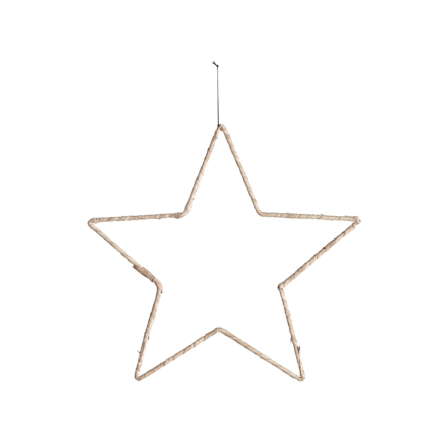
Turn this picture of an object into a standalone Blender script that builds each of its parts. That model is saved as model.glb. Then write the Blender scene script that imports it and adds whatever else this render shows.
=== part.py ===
"""A star bent from wire and wrapped in bast, hanging on a black thread.

The star stands in an XZ plane with its front towards -Y. The origin is the middle of the knot at
the thread's upper end, which is the place that the star hangs from. Lengths are metres.
"""

import bisect
import math
from collections import namedtuple

import bmesh
import bpy
from mathutils import Matrix, Vector

# Sizes of the star
STAR_WIDTH = 0.3026  # between the two side points, where the rod's centre lines would cross
ROD_DIAMETER = 0.0056  # wire and bast together
POINT_BEND = 0.0026  # radius of the centre line at a point of the star
INNER_BEND = 0.0070  # radius of the centre line at an inner corner
WRAP_PITCH = 0.0120  # from one turn of bast to the next
WRAP_RELIEF = 0.0005  # how far the edge of a turn stands over the turn beside it
THREAD_BITE = 0.0007  # how deep the thread sinks into the bast under the hitch
BITE_REACH = 0.0026
STRIP_WIDTH = 0.0018  # loose ends of bast strip
STRIP_THICKNESS = 0.0007

# Sizes of the thread
THREAD_DIAMETER = 0.00044
HANG_KNOT_WIDTH = 0.0024
HANG_KNOT_HEIGHT = 0.0032
HITCH_KNOT_WIDTH = 0.0028
HITCH_KNOT_HEIGHT = 0.0030
HITCH_KNOT_DEPTH = 0.0022
TAIL_LENGTH = 0.0056  # from inside the knot to the cut end
TAIL_DIAMETER = 0.0006
GAP = 0.0003  # left between pieces that touch

# How finely the solids are cut
ROD_SIDES = 8
PATH_STEP = 0.0004
SHARP_ANGLE = math.radians(50)
CREASE = 0.00015  # left between the two legs in the crook of a point

# One turn of bast from its raised edge to the next: shares of the pitch, and of the relief
TURN_PROFILE = ((0.00, 1.0), (0.08, -0.6), (0.32, -0.35), (0.56, 0.1), (0.80, 0.6))

# Corners run clockwise from the top. Places are shares of the star's width from the top corner.
# Bends are shares of POINT_BEND or INNER_BEND. The rod's thickness and the pitch of its bast, as
# shares of their own sizes, and the bow to the left are those of the side after the corner.
Corner = namedtuple("Corner", "name across up bend thick pitch bow")
CORNERS = (
    Corner("top", 0.0000, 0.0000, 1.0, 0.93, 1.20, 0.0),
    Corner("right_shoulder", 0.1405, -0.3371, 1.1, 1.00, 0.88, 0.0007),
    Corner("right_point", 0.5087, -0.3553, 0.95, 1.05, 0.84, -0.0008),
    Corner("right_waist", 0.2165, -0.6011, 0.5, 0.91, 1.40, 0.0004),
    Corner("right_foot", 0.3034, -0.9493, 1.15, 0.945, 1.25, 0.0),
    Corner("crotch", -0.0061, -0.7528, 0.9, 0.97, 1.05, 0.0),
    Corner("left_foot", -0.3147, -0.9471, 1.15, 1.02, 0.76, 0.0022),
    Corner("left_waist", -0.2191, -0.5956, 1.7, 0.935, 1.35, 0.0007),
    Corner("left_point", -0.4913, -0.3606, 0.95, 0.96, 0.75, 0.0),
    Corner("left_shoulder", -0.1308, -0.3380, 1.2, 0.945, 1.05, 0.0),
)
CROWDED_PITCH = 0.5  # share of the pitch where the turns crowd together round a point
CROWDED_REACH = 0.006

# Places where the wrapping is thicker, or thinner below 0. The place is a corner and a share of
# the side after it, the height is a share of the rod's radius, the reach one of its diameter, and
# facing is degrees round the rod from its outer edge over its front, or None for all round it.
Swelling = namedtuple("Swelling", "corner share height reach facing")
SWELLINGS = (
    Swelling("top", 0.020, -0.30, 0.9, 0),
    Swelling("top", 0.150, 0.12, 1.5, 0),
    Swelling("right_point", -0.005, 0.08, 0.8, None),
    Swelling("right_point", 0.067, -0.50, 0.45, 0),
    Swelling("right_point", 0.070, 0.20, 0.5, 180),
    Swelling("right_point", 0.115, 0.12, 0.5, 0),
    Swelling("right_point", -0.130, 0.16, 0.5, 0),
    Swelling("right_point", -0.370, 0.14, 0.5, 0),
    Swelling("right_point", 0.240, -0.14, 0.5, None),
    Swelling("right_point", 0.560, 0.14, 0.5, None),
    Swelling("right_waist", 0.000, 0.40, 0.5, 180),
    Swelling("right_waist", 0.290, 0.18, 0.6, 0),
    Swelling("right_waist", 0.545, 0.36, 0.4, 180),
    Swelling("right_foot", 0.080, -0.33, 0.6, 0),
    Swelling("right_foot", 0.190, 0.14, 1.0, None),
    Swelling("right_foot", 0.930, 0.16, 0.7, None),
    Swelling("left_foot", 0.020, -0.22, 1.2, 0),
    Swelling("left_foot", 0.100, -0.20, 2.6, None),
    Swelling("left_foot", 0.375, 0.28, 0.8, 180),
    Swelling("left_foot", 0.440, 0.25, 0.4, 180),
    Swelling("left_foot", 0.640, 0.25, 1.4, 180),
    Swelling("left_waist", 0.000, 0.24, 1.4, None),
    Swelling("left_waist", 0.910, 0.20, 0.6, 0),
    Swelling("left_point", 0.085, 0.50, 0.55, 180),
    Swelling("left_shoulder", -0.080, 0.34, 0.5, 180),
    Swelling("left_shoulder", -0.280, 0.18, 0.5, 180),
    Swelling("left_shoulder", 0.085, 0.22, 0.8, None),
    Swelling("left_shoulder", 0.090, 0.30, 1.1, 180),
    Swelling("left_shoulder", 0.320, 0.30, 0.5, 180),
    Swelling("left_shoulder", 0.330, 0.12, 2.2, None),
)

# Loose ends of strip that leave the rod. Each starts at one share of a side and ends at another,
# and its middle lies the given rod radii outwards and forwards of the rod's centre line there.
LooseEnd = namedtuple("LooseEnd", "corner start start_out start_front end end_out end_front width")
LOOSE_ENDS = (
    LooseEnd("left_waist", 0.13, 0.32, 0.73, 0.335, 1.50, 0.45, 1.0),
    LooseEnd("left_waist", 0.17, 0.57, 0.50, 0.315, 1.55, 0.05, 0.9),
    LooseEnd("left_waist", 0.15, 0.18, 0.84, 0.270, 1.00, 1.00, 0.9),
    LooseEnd("right_waist", 0.83, 0.75, 0.35, 0.640, 1.12, 0.20, 1.0),
)

# A loose end's share of its length and of its full width
STRIP_PROFILE = ((0.0, 0.55), (0.3, 1.0), (0.7, 0.95), (1.0, 0.6))
STRIP_SIDES = 6

# The hang knot's tails: degrees from upright to the left, and the root's place in the knot
Tail = namedtuple("Tail", "lean depth rise")
TAILS = (Tail(38, -0.15, 0.2), Tail(60, 0.15, 0.2))
TAIL_PROFILE = ((0.0, 0.8), (0.35, 0.85), (0.7, 1.0), (1.0, 1.25))

# The hitch, held to the rod by its own loop
HITCH_ASIDE = 0.0003  # the knot's middle, to the right of the strands' ends
HITCH_ALONG = 0.0051  # from the top corner down the left leg
HITCH_TURN = math.radians(75)  # round the rod from its outer edge towards its front
LOOP_ALONG = 0.0078  # where the loop crosses the back of the leg
# Round the leg from its inner edge over its front: degrees, share of the bite, rise to the knot
LOOP_TURNS = (
    (45, 0.3, 0.4),
    (0, 0.0, 0.0),
    (-45, 0.4, 0.0),
    (-90, 0.9, 0.0),
    (-135, 1.0, 0.0),
    (-180, 1.0, 0.0),
    (-225, 0.6, 0.3),
)
LOOP_SIDES = 6
LOOP_POINTS = 36
KNOT_SEGMENTS = 12
KNOT_RINGS = 7

# The thread's two strands, from the hang knot down to the hitch, in metres
FRONT_STRAND = (
    (0.00012, -0.00032, -0.00190),
    (0.00019, -0.00032, -0.00600),
    (0.00027, -0.00031, -0.01050),
    (0.00036, -0.00030, -0.01500),
    (0.00046, -0.00028, -0.01950),
    (0.00055, -0.00026, -0.02400),
    (0.00063, -0.00024, -0.02850),
    (0.00072, -0.00022, -0.03300),
    (0.00079, -0.00019, -0.03750),
    (0.00087, -0.00016, -0.04200),
    (0.00094, -0.00013, -0.04650),
    (0.00101, -0.00010, -0.05100),
    (0.00107, -0.00007, -0.05550),
    (0.00114, -0.00004, -0.06000),
    (0.00118, -0.00001, -0.06320),
)
BACK_STRAND = (
    (0.00004, 0.00032, -0.00190),
    (0.00006, 0.00032, -0.00600),
    (0.00009, 0.00031, -0.01050),
    (0.00011, 0.00030, -0.01500),
    (0.00014, 0.00028, -0.01950),
    (0.00018, 0.00026, -0.02400),
    (0.00021, 0.00024, -0.02850),
    (0.00025, 0.00022, -0.03300),
    (0.00029, 0.00019, -0.03750),
    (0.00032, 0.00016, -0.04200),
    (0.00036, 0.00013, -0.04650),
    (0.00042, 0.00010, -0.05100),
    (0.00048, 0.00007, -0.05550),
    (0.00053, 0.00004, -0.06000),
    (0.00055, 0.00001, -0.06320),
)
STRAND_POINTS = 40
SMOOTH_STEPS = 12

BAST_COLOUR = (0.70, 0.56, 0.42, 1.0)
THREAD_COLOUR = (0.012, 0.012, 0.014, 1.0)

FRONT = Vector((0.0, -1.0, 0.0))
ROD_RADIUS = ROD_DIAMETER / 2


def clear_scene():
    for thing in list(bpy.data.objects):
        bpy.data.objects.remove(thing, do_unlink=True)


def make_material(name, colour, roughness):
    material = bpy.data.materials.new(name)
    material.use_nodes = True
    shader = material.node_tree.nodes["Principled BSDF"]
    shader.inputs["Base Color"].default_value = colour
    shader.inputs["Roughness"].default_value = roughness
    shader.inputs["Metallic"].default_value = 0.0
    return material


def add_object(name, mesh, material):
    thing = bpy.data.objects.new(name, mesh)
    bpy.context.scene.collection.objects.link(thing)
    thing.data.materials.append(material)
    return thing


def fuse(thing, forms):
    """Join guide forms to a solid, so that they are one body."""
    for form in forms:
        form.hide_render = True
        form.display_type = "WIRE"
        join = thing.modifiers.new("Join " + form.name, "BOOLEAN")
        join.operation = "UNION"
        join.object = form


def finish_mesh(bm, name):
    mesh = bpy.data.meshes.new(name)
    bm.to_mesh(mesh)
    bm.free()
    mesh.shade_smooth()
    mesh.set_sharp_from_angle(angle=SHARP_ANGLE)
    return mesh


def skin_rings(rings, closed):
    """A closed mesh over rings of points, joined end to start or with its ends filled."""
    bm = bmesh.new()
    loops = [[bm.verts.new(point) for point in ring] for ring in rings]
    pairs = list(zip(loops, loops[1:]))
    if closed:
        pairs.append((loops[-1], loops[0]))
    for low, high in pairs:
        count = len(low)
        for k in range(count):
            after = (k + 1) % count
            bm.faces.new((low[k], low[after], high[after], high[k]))
    if not closed:
        bm.faces.new(list(reversed(loops[0])))
        bm.faces.new(loops[-1])
    bmesh.ops.recalc_face_normals(bm, faces=bm.faces)
    return finish_mesh(bm, "Skin")


def left_of(direction):
    """The direction to the left of a way in the star's plane, seen from the front."""
    return Vector((-direction.z, 0.0, direction.x))


def corner_place(corner):
    """A corner's place from the top corner, in the star's plane."""
    return Vector((corner.across, 0.0, corner.up)) * STAR_WIDTH


def is_point(index):
    """Points and inner corners take turns round the star, from the top point on."""
    return index % 2 == 0


Bend = namedtuple("Bend", "corner way_in way_out turn radius reach half_open")


def find_bend(index):
    """The arc that rounds off one corner of the centre line."""
    place = corner_place(CORNERS[index])
    before = corner_place(CORNERS[index - 1])
    after = corner_place(CORNERS[(index + 1) % len(CORNERS)])
    way_in = (place - before).normalized()
    way_out = (after - place).normalized()
    turn = way_in.angle(way_out)
    if way_in.cross(way_out).dot(FRONT) < 0:
        turn = -turn
    radius = CORNERS[index].bend * (POINT_BEND if is_point(index) else INNER_BEND)
    reach = radius * math.tan(abs(turn) / 2)
    return Bend(place, way_in, way_out, turn, radius, reach, (math.pi - abs(turn)) / 2)


def rotate_in_plane(direction, angle):
    """Turn a direction in the star's plane, anticlockwise as seen from the front."""
    turned = math.cos(angle) * direction
    turned += math.sin(angle) * left_of(direction)
    return turned


Station = namedtuple("Station", "place way room_left room_right thick rate")


def straight_stations(index, bends):
    """Stations along one straight side. In a point, the other leg leaves them little room."""
    bend, after = bends[index], bends[(index + 1) % len(bends)]
    corner = CORNERS[index]
    length = (after.corner - bend.corner).length
    run = length - bend.reach - after.reach
    count = math.ceil(run / PATH_STEP)
    for step in range(count):
        gone = bend.reach + run * step / count
        near = gone * math.tan(bend.half_open) - CREASE
        far = (length - gone) * math.tan(after.half_open) - CREASE
        room = {-1: ROD_DIAMETER, 1: ROD_DIAMETER}
        for turn, limit in ((bend.turn, near), (after.turn, far)):
            hand = 1 if turn > 0 else -1
            room[hand] = min(room[hand], limit)
        bow = corner.bow * STAR_WIDTH * math.sin(math.pi * step / count) ** 2
        place = bend.corner + bend.way_out * gone + left_of(bend.way_out) * bow
        from_arc = gone - bend.reach if is_point(index) else length - gone - after.reach
        share = CROWDED_PITCH if from_arc < CROWDED_REACH else corner.pitch
        yield Station(place, bend.way_out, room[1], room[-1], corner.thick, 1 / (share * WRAP_PITCH))


def bend_stations(index, bends):
    """Stations round the arc of one corner."""
    bend = bends[index]
    hand = 1 if bend.turn > 0 else -1
    centre = bend.corner - bend.way_in * bend.reach + left_of(bend.way_in) * bend.radius * hand
    count = math.ceil(abs(bend.turn) * bend.radius / PATH_STEP)
    before, corner = CORNERS[index - 1], CORNERS[index]
    for step in range(count):
        share = step / count
        way = rotate_in_plane(bend.way_in, bend.turn * share)
        place = centre - left_of(way) * bend.radius * hand
        limit = bend.radius - CREASE
        left, right = (limit, ROD_DIAMETER) if hand > 0 else (ROD_DIAMETER, limit)
        thick = before.thick + (corner.thick - before.thick) * share
        pitch = before.pitch + (corner.pitch - before.pitch) * share
        if is_point(index):
            pitch = CROWDED_PITCH
        yield Station(place, way, left, right, thick, 1 / (pitch * WRAP_PITCH))


def rod_stations():
    """The closed centre line as closely spaced stations, clockwise from the top corner's arc."""
    bends = [find_bend(index) for index in range(len(CORNERS))]
    stations = []
    for index in range(len(bends)):
        stations.extend(bend_stations(index, bends))
        stations.extend(straight_stations(index, bends))
    return stations


def count_turns(stations):
    """The turns of bast wound up to each station, scaled to a whole number round the star."""
    turns = [0.0]
    for here, following in zip(stations, stations[1:] + stations[:1]):
        turns.append(turns[-1] + (following.place - here.place).length * here.rate)
    whole = round(turns[-1])
    return [turn * whole / turns[-1] for turn in turns], whole


def side_point(corner_name, share, out=0.0, front=0.0):
    """A point beside the rod: a share along a side, so many rod radii outwards and forwards."""
    index = [corner.name for corner in CORNERS].index(corner_name)
    here = corner_place(CORNERS[index])
    following = corner_place(CORNERS[(index + 1) % len(CORNERS)])
    if share < 0:
        here, following = corner_place(CORNERS[index - 1]), here
        share += 1
    way = (following - here).normalized()
    aside = left_of(way) * out + FRONT * front
    return here + (following - here) * share + aside * ROD_RADIUS


def loop_place():
    """Where the hitch's loop bites into the top of the left leg."""
    bend = find_bend(0)
    return bend.corner - bend.way_in * LOOP_ALONG


def swelling_places():
    """The places, heights and reaches of the swellings, in metres."""
    places = []
    for swelling in SWELLINGS:
        facing = None if swelling.facing is None else math.radians(swelling.facing)
        place = side_point(swelling.corner, swelling.share)
        reach = swelling.reach * ROD_DIAMETER
        places.append((place, swelling.height * ROD_RADIUS, reach, facing))
    return places


def extra_radius(place, angle, swellings, bite_place):
    """What the swellings and the thread's bite add to the rod's radius."""
    extra = 0.0
    for centre, height, reach, facing in swellings:
        lift = height * math.exp(-(((place - centre).length / reach) ** 2))
        if facing is not None:
            lift *= max(0.0, math.cos(angle - facing))
        extra += lift
    away = (place - bite_place).length / BITE_REACH
    return extra - THREAD_BITE * math.exp(-(away**2))


def rod_mesh():
    """The wrapped rod: the turns of one long helix, closed on itself round the star.

    The rows of the mesh follow the helix, so that the raised edge of each turn is a crisp line.
    """
    stations = rod_stations()
    turns, whole = count_turns(stations)
    swellings = swelling_places()
    bite_place = loop_place()
    bm = bmesh.new()
    grid = {}
    for turn in range(whole):
        for side in range(ROD_SIDES):
            angle = 2 * math.pi * side / ROD_SIDES
            for row, (share, height) in enumerate(TURN_PROFILE):
                wound = (turn - side / ROD_SIDES + share) % whole
                k = bisect.bisect_right(turns, wound) - 1
                here, following = stations[k], stations[(k + 1) % len(stations)]
                part = (wound - turns[k]) / (turns[k + 1] - turns[k])
                place = here.place.lerp(following.place, part)
                way = here.way.lerp(following.way, part).normalized()
                radius = ROD_RADIUS * here.thick + WRAP_RELIEF * height / 2
                radius += extra_radius(place, angle, swellings, bite_place)
                room = here.room_left if math.cos(angle) > 0 else here.room_right
                sideways = math.copysign(min(abs(radius * math.cos(angle)), room), math.cos(angle))
                point = place + left_of(way) * sideways + FRONT * radius * math.sin(angle)
                grid[turn, side, row] = bm.verts.new(point)
    rows = len(TURN_PROFILE)
    for turn, side, row in grid:
        along = (turn, side + 1) if side + 1 < ROD_SIDES else ((turn - 1) % whole, 0)
        over = (0, row + 1) if row + 1 < rows else (1, 0)
        corners = [grid[turn, side, row], grid[(*along, row)]]
        corners.append(grid[(along[0] + over[0]) % whole, along[1], over[1]])
        corners.append(grid[(turn + over[0]) % whole, side, over[1]])
        bm.faces.new(corners)
    bmesh.ops.recalc_face_normals(bm, faces=bm.faces)
    return finish_mesh(bm, "Wrapped rod")


def strip_mesh(start, end, width):
    """A flat, slightly arched end of strip that narrows to its tip."""
    way = (end - start).normalized()
    flat = way.cross(FRONT).normalized()
    rise = flat.cross(way).normalized()
    rings = []
    for share, fullness in STRIP_PROFILE:
        centre = start.lerp(end, share) + rise * STRIP_THICKNESS / 2 * math.sin(math.pi * share)
        half_width = width / 2 * fullness
        half_thickness = STRIP_THICKNESS / 2 * fullness
        ring = []
        for side in range(STRIP_SIDES):
            angle = 2 * math.pi * side / STRIP_SIDES
            across = flat * half_width * math.cos(angle)
            ring.append(centre + across + rise * half_thickness * math.sin(angle))
        rings.append(ring)
    return skin_rings(rings, closed=False)


def make_star(place, material):
    """The star, one solid, with its loose ends of strip fused on."""
    mesh = rod_mesh()
    mesh.transform(Matrix.Translation(place))
    star = add_object("bast_star", mesh, material)
    ends = []
    for number, end in enumerate(LOOSE_ENDS):
        start = side_point(end.corner, end.start, end.start_out, end.start_front)
        finish = side_point(end.corner, end.end, end.end_out, end.end_front)
        strip = strip_mesh(start, finish, STRIP_WIDTH * end.width)
        strip.transform(Matrix.Translation(place))
        ends.append(add_object("loose_end_%d" % number, strip, material))
    fuse(star, ends)


def ball_mesh(width, depth, height):
    """A closed ellipsoid about its own centre."""
    bm = bmesh.new()
    bmesh.ops.create_uvsphere(bm, u_segments=KNOT_SEGMENTS, v_segments=KNOT_RINGS, radius=0.5)
    bmesh.ops.scale(bm, vec=(width, depth, height), verts=bm.verts)
    return finish_mesh(bm, "Knot")


def smooth_path(points, count, closed=False):
    """Evenly spaced points on a Catmull-Rom curve through the given ones."""
    dense = []
    total = len(points)
    spans = total if closed else total - 1
    for k in range(spans):
        if closed:
            four = [points[(k + step) % total] for step in (-1, 0, 1, 2)]
        else:
            four = [points[min(max(k + step, 0), total - 1)] for step in (-1, 0, 1, 2)]
        a, b, c, d = (Vector(point) for point in four)
        for step in range(SMOOTH_STEPS):
            t = step / SMOOTH_STEPS
            point = 2 * b + (c - a) * t + (2 * a - 5 * b + 4 * c - d) * t**2
            point += (3 * b - a - 3 * c + d) * t**3
            dense.append(point / 2)
    dense.append(Vector(points[0] if closed else points[-1]))
    lengths = [0.0]
    for here, following in zip(dense, dense[1:]):
        lengths.append(lengths[-1] + (following - here).length)
    steps = count if closed else count - 1
    path = []
    k = 0
    for step in range(count):
        wanted = lengths[-1] * step / steps
        while k < len(dense) - 2 and lengths[k + 1] < wanted:
            k += 1
        span = lengths[k + 1] - lengths[k]
        path.append(dense[k].lerp(dense[k + 1], (wanted - lengths[k]) / span if span else 0.0))
    return path


def tube_mesh(path, diameters, sides, closed):
    """A tube along a path, with its section carried along without twist."""
    count = len(path)
    rings = []
    across = None
    for k, place in enumerate(path):
        before = path[(k - 1) % count] if closed or k else place
        after = path[(k + 1) % count] if closed or k < count - 1 else place
        way = (after - before).normalized()
        if across is None:
            across = way.orthogonal().normalized()
        across = (across - way * across.dot(way)).normalized()
        over = way.cross(across)
        radius = diameters[k] / 2
        ring = []
        for side in range(sides):
            angle = 2 * math.pi * side / sides
            ring.append(place + (across * math.cos(angle) + over * math.sin(angle)) * radius)
        rings.append(ring)
    return skin_rings(rings, closed)


def make_hang_knot(material):
    """The knot that the star hangs from, with the thread's two cut tails."""
    bottom = (FRONT_STRAND[0][2] + BACK_STRAND[0][2]) / 2 + GAP
    place = Vector((0.0, 0.0, bottom + HANG_KNOT_HEIGHT / 2))
    mesh = ball_mesh(HANG_KNOT_WIDTH, HANG_KNOT_WIDTH, HANG_KNOT_HEIGHT)
    mesh.transform(Matrix.Translation(place))
    knot = add_object("hang_knot", mesh, material)
    tails = []
    for number, tail in enumerate(TAILS):
        way = rotate_in_plane(Vector((0.0, 0.0, 1.0)), math.radians(tail.lean))
        root = place + Vector((0.0, tail.depth * HANG_KNOT_WIDTH, tail.rise * HANG_KNOT_HEIGHT))
        path = [root + way * TAIL_LENGTH * share for share, _ in TAIL_PROFILE]
        diameters = [TAIL_DIAMETER * fullness for _, fullness in TAIL_PROFILE]
        mesh = tube_mesh(path, diameters, LOOP_SIDES, closed=False)
        tails.append(add_object("knot_tail_%d" % number, mesh, material))
    fuse(knot, tails)


def make_strand(name, route, material):
    """One strand of the thread, a tube on a smooth curve through its route."""
    curve = bpy.data.curves.new(name, "CURVE")
    curve.dimensions = "3D"
    curve.bevel_depth = THREAD_DIAMETER / 2
    curve.bevel_resolution = 2
    curve.use_fill_caps = True
    spline = curve.splines.new("POLY")
    path = smooth_path(route, STRAND_POINTS)
    spline.points.add(len(path) - 1)
    for point, place in zip(spline.points, path):
        point.co = (*place, 1.0)
    add_object(name, curve, material)


def hitch_knot_place():
    """The hitch's knot hangs on the strands' lower ends."""
    ends = (Vector(FRONT_STRAND[-1]) + Vector(BACK_STRAND[-1])) / 2
    return ends + Vector((HITCH_ASIDE, 0.0, -GAP - HITCH_KNOT_HEIGHT / 2))


def rod_to_hitch_knot():
    """From the star's top corner to the hitch's knot, which rests on the left leg's shoulder."""
    up = find_bend(0).way_in
    distance = ROD_RADIUS + GAP + HITCH_KNOT_DEPTH / 2
    lean = left_of(up) * math.cos(HITCH_TURN) + FRONT * math.sin(HITCH_TURN)
    return lean * distance - up * HITCH_ALONG


def make_hitch(star_place, material):
    """The hitch: a knot on the shoulder and its loop round the left leg."""
    knot_place = hitch_knot_place()
    mesh = ball_mesh(HITCH_KNOT_WIDTH, HITCH_KNOT_DEPTH, HITCH_KNOT_HEIGHT)
    mesh.transform(Matrix.Translation(knot_place))
    knot = add_object("thread_hitch", mesh, material)
    bend = find_bend(0)
    up, inwards = bend.way_in, -left_of(bend.way_in)
    clear = ROD_RADIUS + WRAP_RELIEF / 2 + GAP + THREAD_DIAMETER / 2
    crook = (bend.way_out - bend.way_in).normalized() * clear / math.sin(bend.half_open)
    route = [knot_place]
    for degrees, bite, rise in LOOP_TURNS:
        angle = math.radians(degrees)
        lean = inwards * math.cos(angle) + FRONT * math.sin(angle)
        place = lean * (clear - THREAD_BITE * bite) - up * LOOP_ALONG
        place += up * (LOOP_ALONG - HITCH_ALONG) * rise
        route.append(star_place + (crook if degrees == 0 else place))
    path = smooth_path(route, LOOP_POINTS, closed=True)
    loop = tube_mesh(path, [THREAD_DIAMETER] * len(path), LOOP_SIDES, closed=True)
    fuse(knot, [add_object("hitch_loop", loop, material)])


def main():
    clear_scene()
    bast = make_material("Bast", BAST_COLOUR, 0.75)
    thread = make_material("Black thread", THREAD_COLOUR, 0.8)
    star_place = hitch_knot_place() - rod_to_hitch_knot()
    make_star(star_place, bast)
    make_hang_knot(thread)
    make_strand("front_strand", FRONT_STRAND, thread)
    make_strand("back_strand", BACK_STRAND, thread)
    make_hitch(star_place, thread)


main()
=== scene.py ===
"""The looks of the bast star: strips of bast wound round a bent rod, hung on a black thread.

Everything is in metres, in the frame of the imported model. The origin is the knot that the star
hangs from, and the star's front faces -Y.
"""

import math
from collections import namedtuple

import bpy
import numpy as np
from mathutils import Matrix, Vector


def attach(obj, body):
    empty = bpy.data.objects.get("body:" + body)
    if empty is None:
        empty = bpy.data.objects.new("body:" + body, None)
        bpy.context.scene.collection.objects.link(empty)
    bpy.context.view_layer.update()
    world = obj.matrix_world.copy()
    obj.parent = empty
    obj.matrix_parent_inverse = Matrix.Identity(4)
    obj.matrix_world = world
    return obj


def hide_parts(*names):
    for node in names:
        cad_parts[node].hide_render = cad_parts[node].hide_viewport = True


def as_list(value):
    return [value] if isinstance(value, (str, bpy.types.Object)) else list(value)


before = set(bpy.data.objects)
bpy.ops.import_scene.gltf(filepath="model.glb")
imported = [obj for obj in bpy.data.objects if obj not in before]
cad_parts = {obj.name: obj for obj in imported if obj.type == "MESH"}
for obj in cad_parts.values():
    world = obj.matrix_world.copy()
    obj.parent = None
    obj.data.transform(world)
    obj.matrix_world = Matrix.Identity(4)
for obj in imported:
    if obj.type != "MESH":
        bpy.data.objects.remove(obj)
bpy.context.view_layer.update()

MM = 0.001

# The star's sizes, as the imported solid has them
STAR_WIDTH = 0.3026  # between the two side points, where the rod's centre lines would cross
ROD_RADIUS = 0.0028
POINT_BEND = 0.0026
INNER_BEND = 0.0070
STAR_TOP = Vector((0.004019, 0.004057, -0.060636))  # where the top point's centre lines cross
CREASE = 0.00012  # left between the two legs in the crook of a point
SQUEEZED_FROM = 0.8  # share of the room in a crook from which the rod is squeezed
FRONT = Vector((0.0, -1.0, 0.0))
THREAD_WIDTH = 0.00062  # with its loose fibres

# The picture: where the camera looks, how wide a view it takes in, and its lens
VIEW_CENTRE = Vector((0.0011, 0.0, -0.1672))
VIEW_WIDTH = 0.4807
LENS = 135.0
SENSOR = 36.0

# The stage and its lights, which all face one place
LIT_PLACE = Vector((0.0, 0.0, -0.2))
LIGHTS = {  # where each stands, its size and its power in watts
    "Key": ((3.20, -3.35, -0.75), 1.3, 250.0),
    "Front fill": ((0.2, -2.1, 0.3), 1.4, 7.0),
    "Back light": ((-0.7, 3.4, 0.7), 1.6, 110.0),
}
SURROUND_LIGHT = (1.0, 0.70, 0.47, 1.0)
SURROUND_STRENGTH = 0.155
FLOOR_RADIUS = 1.2
FLOOR_HEIGHT = -0.62
FLOOR_SIDES = 64
FLOOR_GLOW = 0.50  # keeps the floor pale from above, where no light stands over it

# How finely the wound strips are cut
ROWS = 96  # for each turn of the winding, across its strips
SIDES = 36  # round the rod
PATH_STEP = 0.0004
CURVE_STEPS = 24  # between two given points of a smooth path
NOISE_CELLS = (1021, 61)

# Corners run clockwise from the top. Places are shares of the star's width from the top corner,
# bends are shares of POINT_BEND or INNER_BEND, and bows are shares of the star's width.
Corner = namedtuple("Corner", "name across up bend bow")
CORNERS = (
    Corner("top", 0.0000, 0.0000, 1.0, 0.0),
    Corner("right_shoulder", 0.1405, -0.3371, 1.1, 0.0007),
    Corner("right_point", 0.5087, -0.3553, 0.95, -0.0008),
    Corner("right_waist", 0.2165, -0.6011, 0.5, 0.0004),
    Corner("right_foot", 0.3034, -0.9493, 1.15, 0.0),
    Corner("crotch", -0.0061, -0.7528, 0.9, 0.0),
    Corner("left_foot", -0.3147, -0.9471, 1.15, 0.0022),
    Corner("left_waist", -0.2191, -0.5956, 1.7, 0.0007),
    Corner("left_point", -0.4913, -0.3606, 0.95, 0.0),
    Corner("left_shoulder", -0.1308, -0.3380, 1.2, 0.0),
)
NAMES = [corner.name for corner in CORNERS]

# How the rod is wound on the side after each corner, from a share of the side on: the rod's
# thickness as a share of its own size, the millimetres gained in one turn, how many strips lie
# side by side in a turn, how many millimetres an edge stands up, how much a strip is rounded like
# a cord, its tone from 0 to 1, its hue from -1, pinkish, to 1, straw, and the warmth of its
# stains from 0 to 1
Winding = namedtuple("Winding", "share thick lead strips relief crown tone hue warmth")
WINDINGS = {
    "left_shoulder": (
        Winding(0.00, 0.870, 12.0, 1, 0.45, 0.20, 0.60, -0.10, 0.40),
        Winding(0.42, 0.840, 12.0, 1, 0.50, 0.20, 0.59, -0.25, 0.40),
        Winding(0.75, 0.820, 12.0, 1, 0.50, 0.20, 0.60, -0.50, 0.40),
    ),
    "top": (
        Winding(0.00, 0.820, 12.5, 1, 0.55, 0.20, 0.51, 0.35, 0.35),
        Winding(0.30, 0.825, 12.5, 1, 0.50, 0.20, 0.56, 0.10, 0.35),
    ),
    "right_shoulder": (
        Winding(0.00, 0.870, 11.0, 1, 0.50, 0.30, 0.45, 0.50, 0.40),
        Winding(0.17, 0.880, 8.0, 2, 0.50, 0.60, 0.43, 0.40, 0.55),
        Winding(0.36, 0.870, 14.0, 2, 0.50, 0.40, 0.48, 0.30, 0.40),
    ),
    "right_point": (
        Winding(0.00, 0.935, 8.5, 1, 0.80, 0.50, 0.45, 0.10, 0.60),
        Winding(0.16, 0.935, 12.5, 1, 0.85, 0.50, 0.45, -0.05, 0.60),
    ),
    "right_waist": (
        Winding(0.00, 0.805, 22.0, 2, 0.45, 0.15, 0.60, -0.05, 0.45),
        Winding(0.84, 0.805, 22.0, 2, 0.45, 0.15, 0.30, 0.30, 0.45),
    ),
    "right_foot": (
        Winding(0.00, 0.825, 26.0, 2, 0.45, 0.15, 0.41, 0.00, 0.45),
        Winding(0.66, 0.825, 26.0, 2, 0.45, 0.15, 0.34, 0.45, 0.45),
    ),
    "crotch": (
        Winding(0.00, 0.860, 12.5, 1, 0.65, 0.35, 0.29, -0.20, 0.55),
    ),
    "left_foot": (
        Winding(0.00, 0.750, 13.0, 2, 0.45, 0.25, 0.52, -0.30, 0.45),
        Winding(0.25, 0.860, 13.0, 2, 0.45, 0.25, 0.50, -0.20, 0.60),
        Winding(0.36, 0.905, 13.0, 2, 0.40, 0.25, 0.54, -0.20, 0.55),
        Winding(0.80, 0.880, 15.0, 2, 0.30, 0.20, 0.58, -0.35, 0.30),
    ),
    "left_waist": (
        Winding(0.00, 0.800, 24.0, 2, 0.45, 0.15, 0.40, -0.50, 0.55),
        Winding(0.34, 0.805, 24.0, 2, 0.45, 0.15, 0.52, 0.40, 0.35),
        Winding(0.60, 0.810, 24.0, 2, 0.45, 0.15, 0.51, 0.05, 0.35),
    ),
    "left_point": (
        Winding(0.00, 0.830, 10.5, 2, 0.70, 0.90, 0.45, 0.05, 0.50),
        Winding(0.42, 0.830, 10.0, 1, 0.62, 0.40, 0.47, -0.05, 0.50),
    ),
}
MOST_STRIPS = 2
CROWDED_LEAD = 6.0 * MM  # where the turns crowd together round a point
CROWDED_REACH = 6.0 * MM  # from the point's arc on
BLEND_REACH = 8.0 * MM  # along the rod, from one winding to the next one
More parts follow.
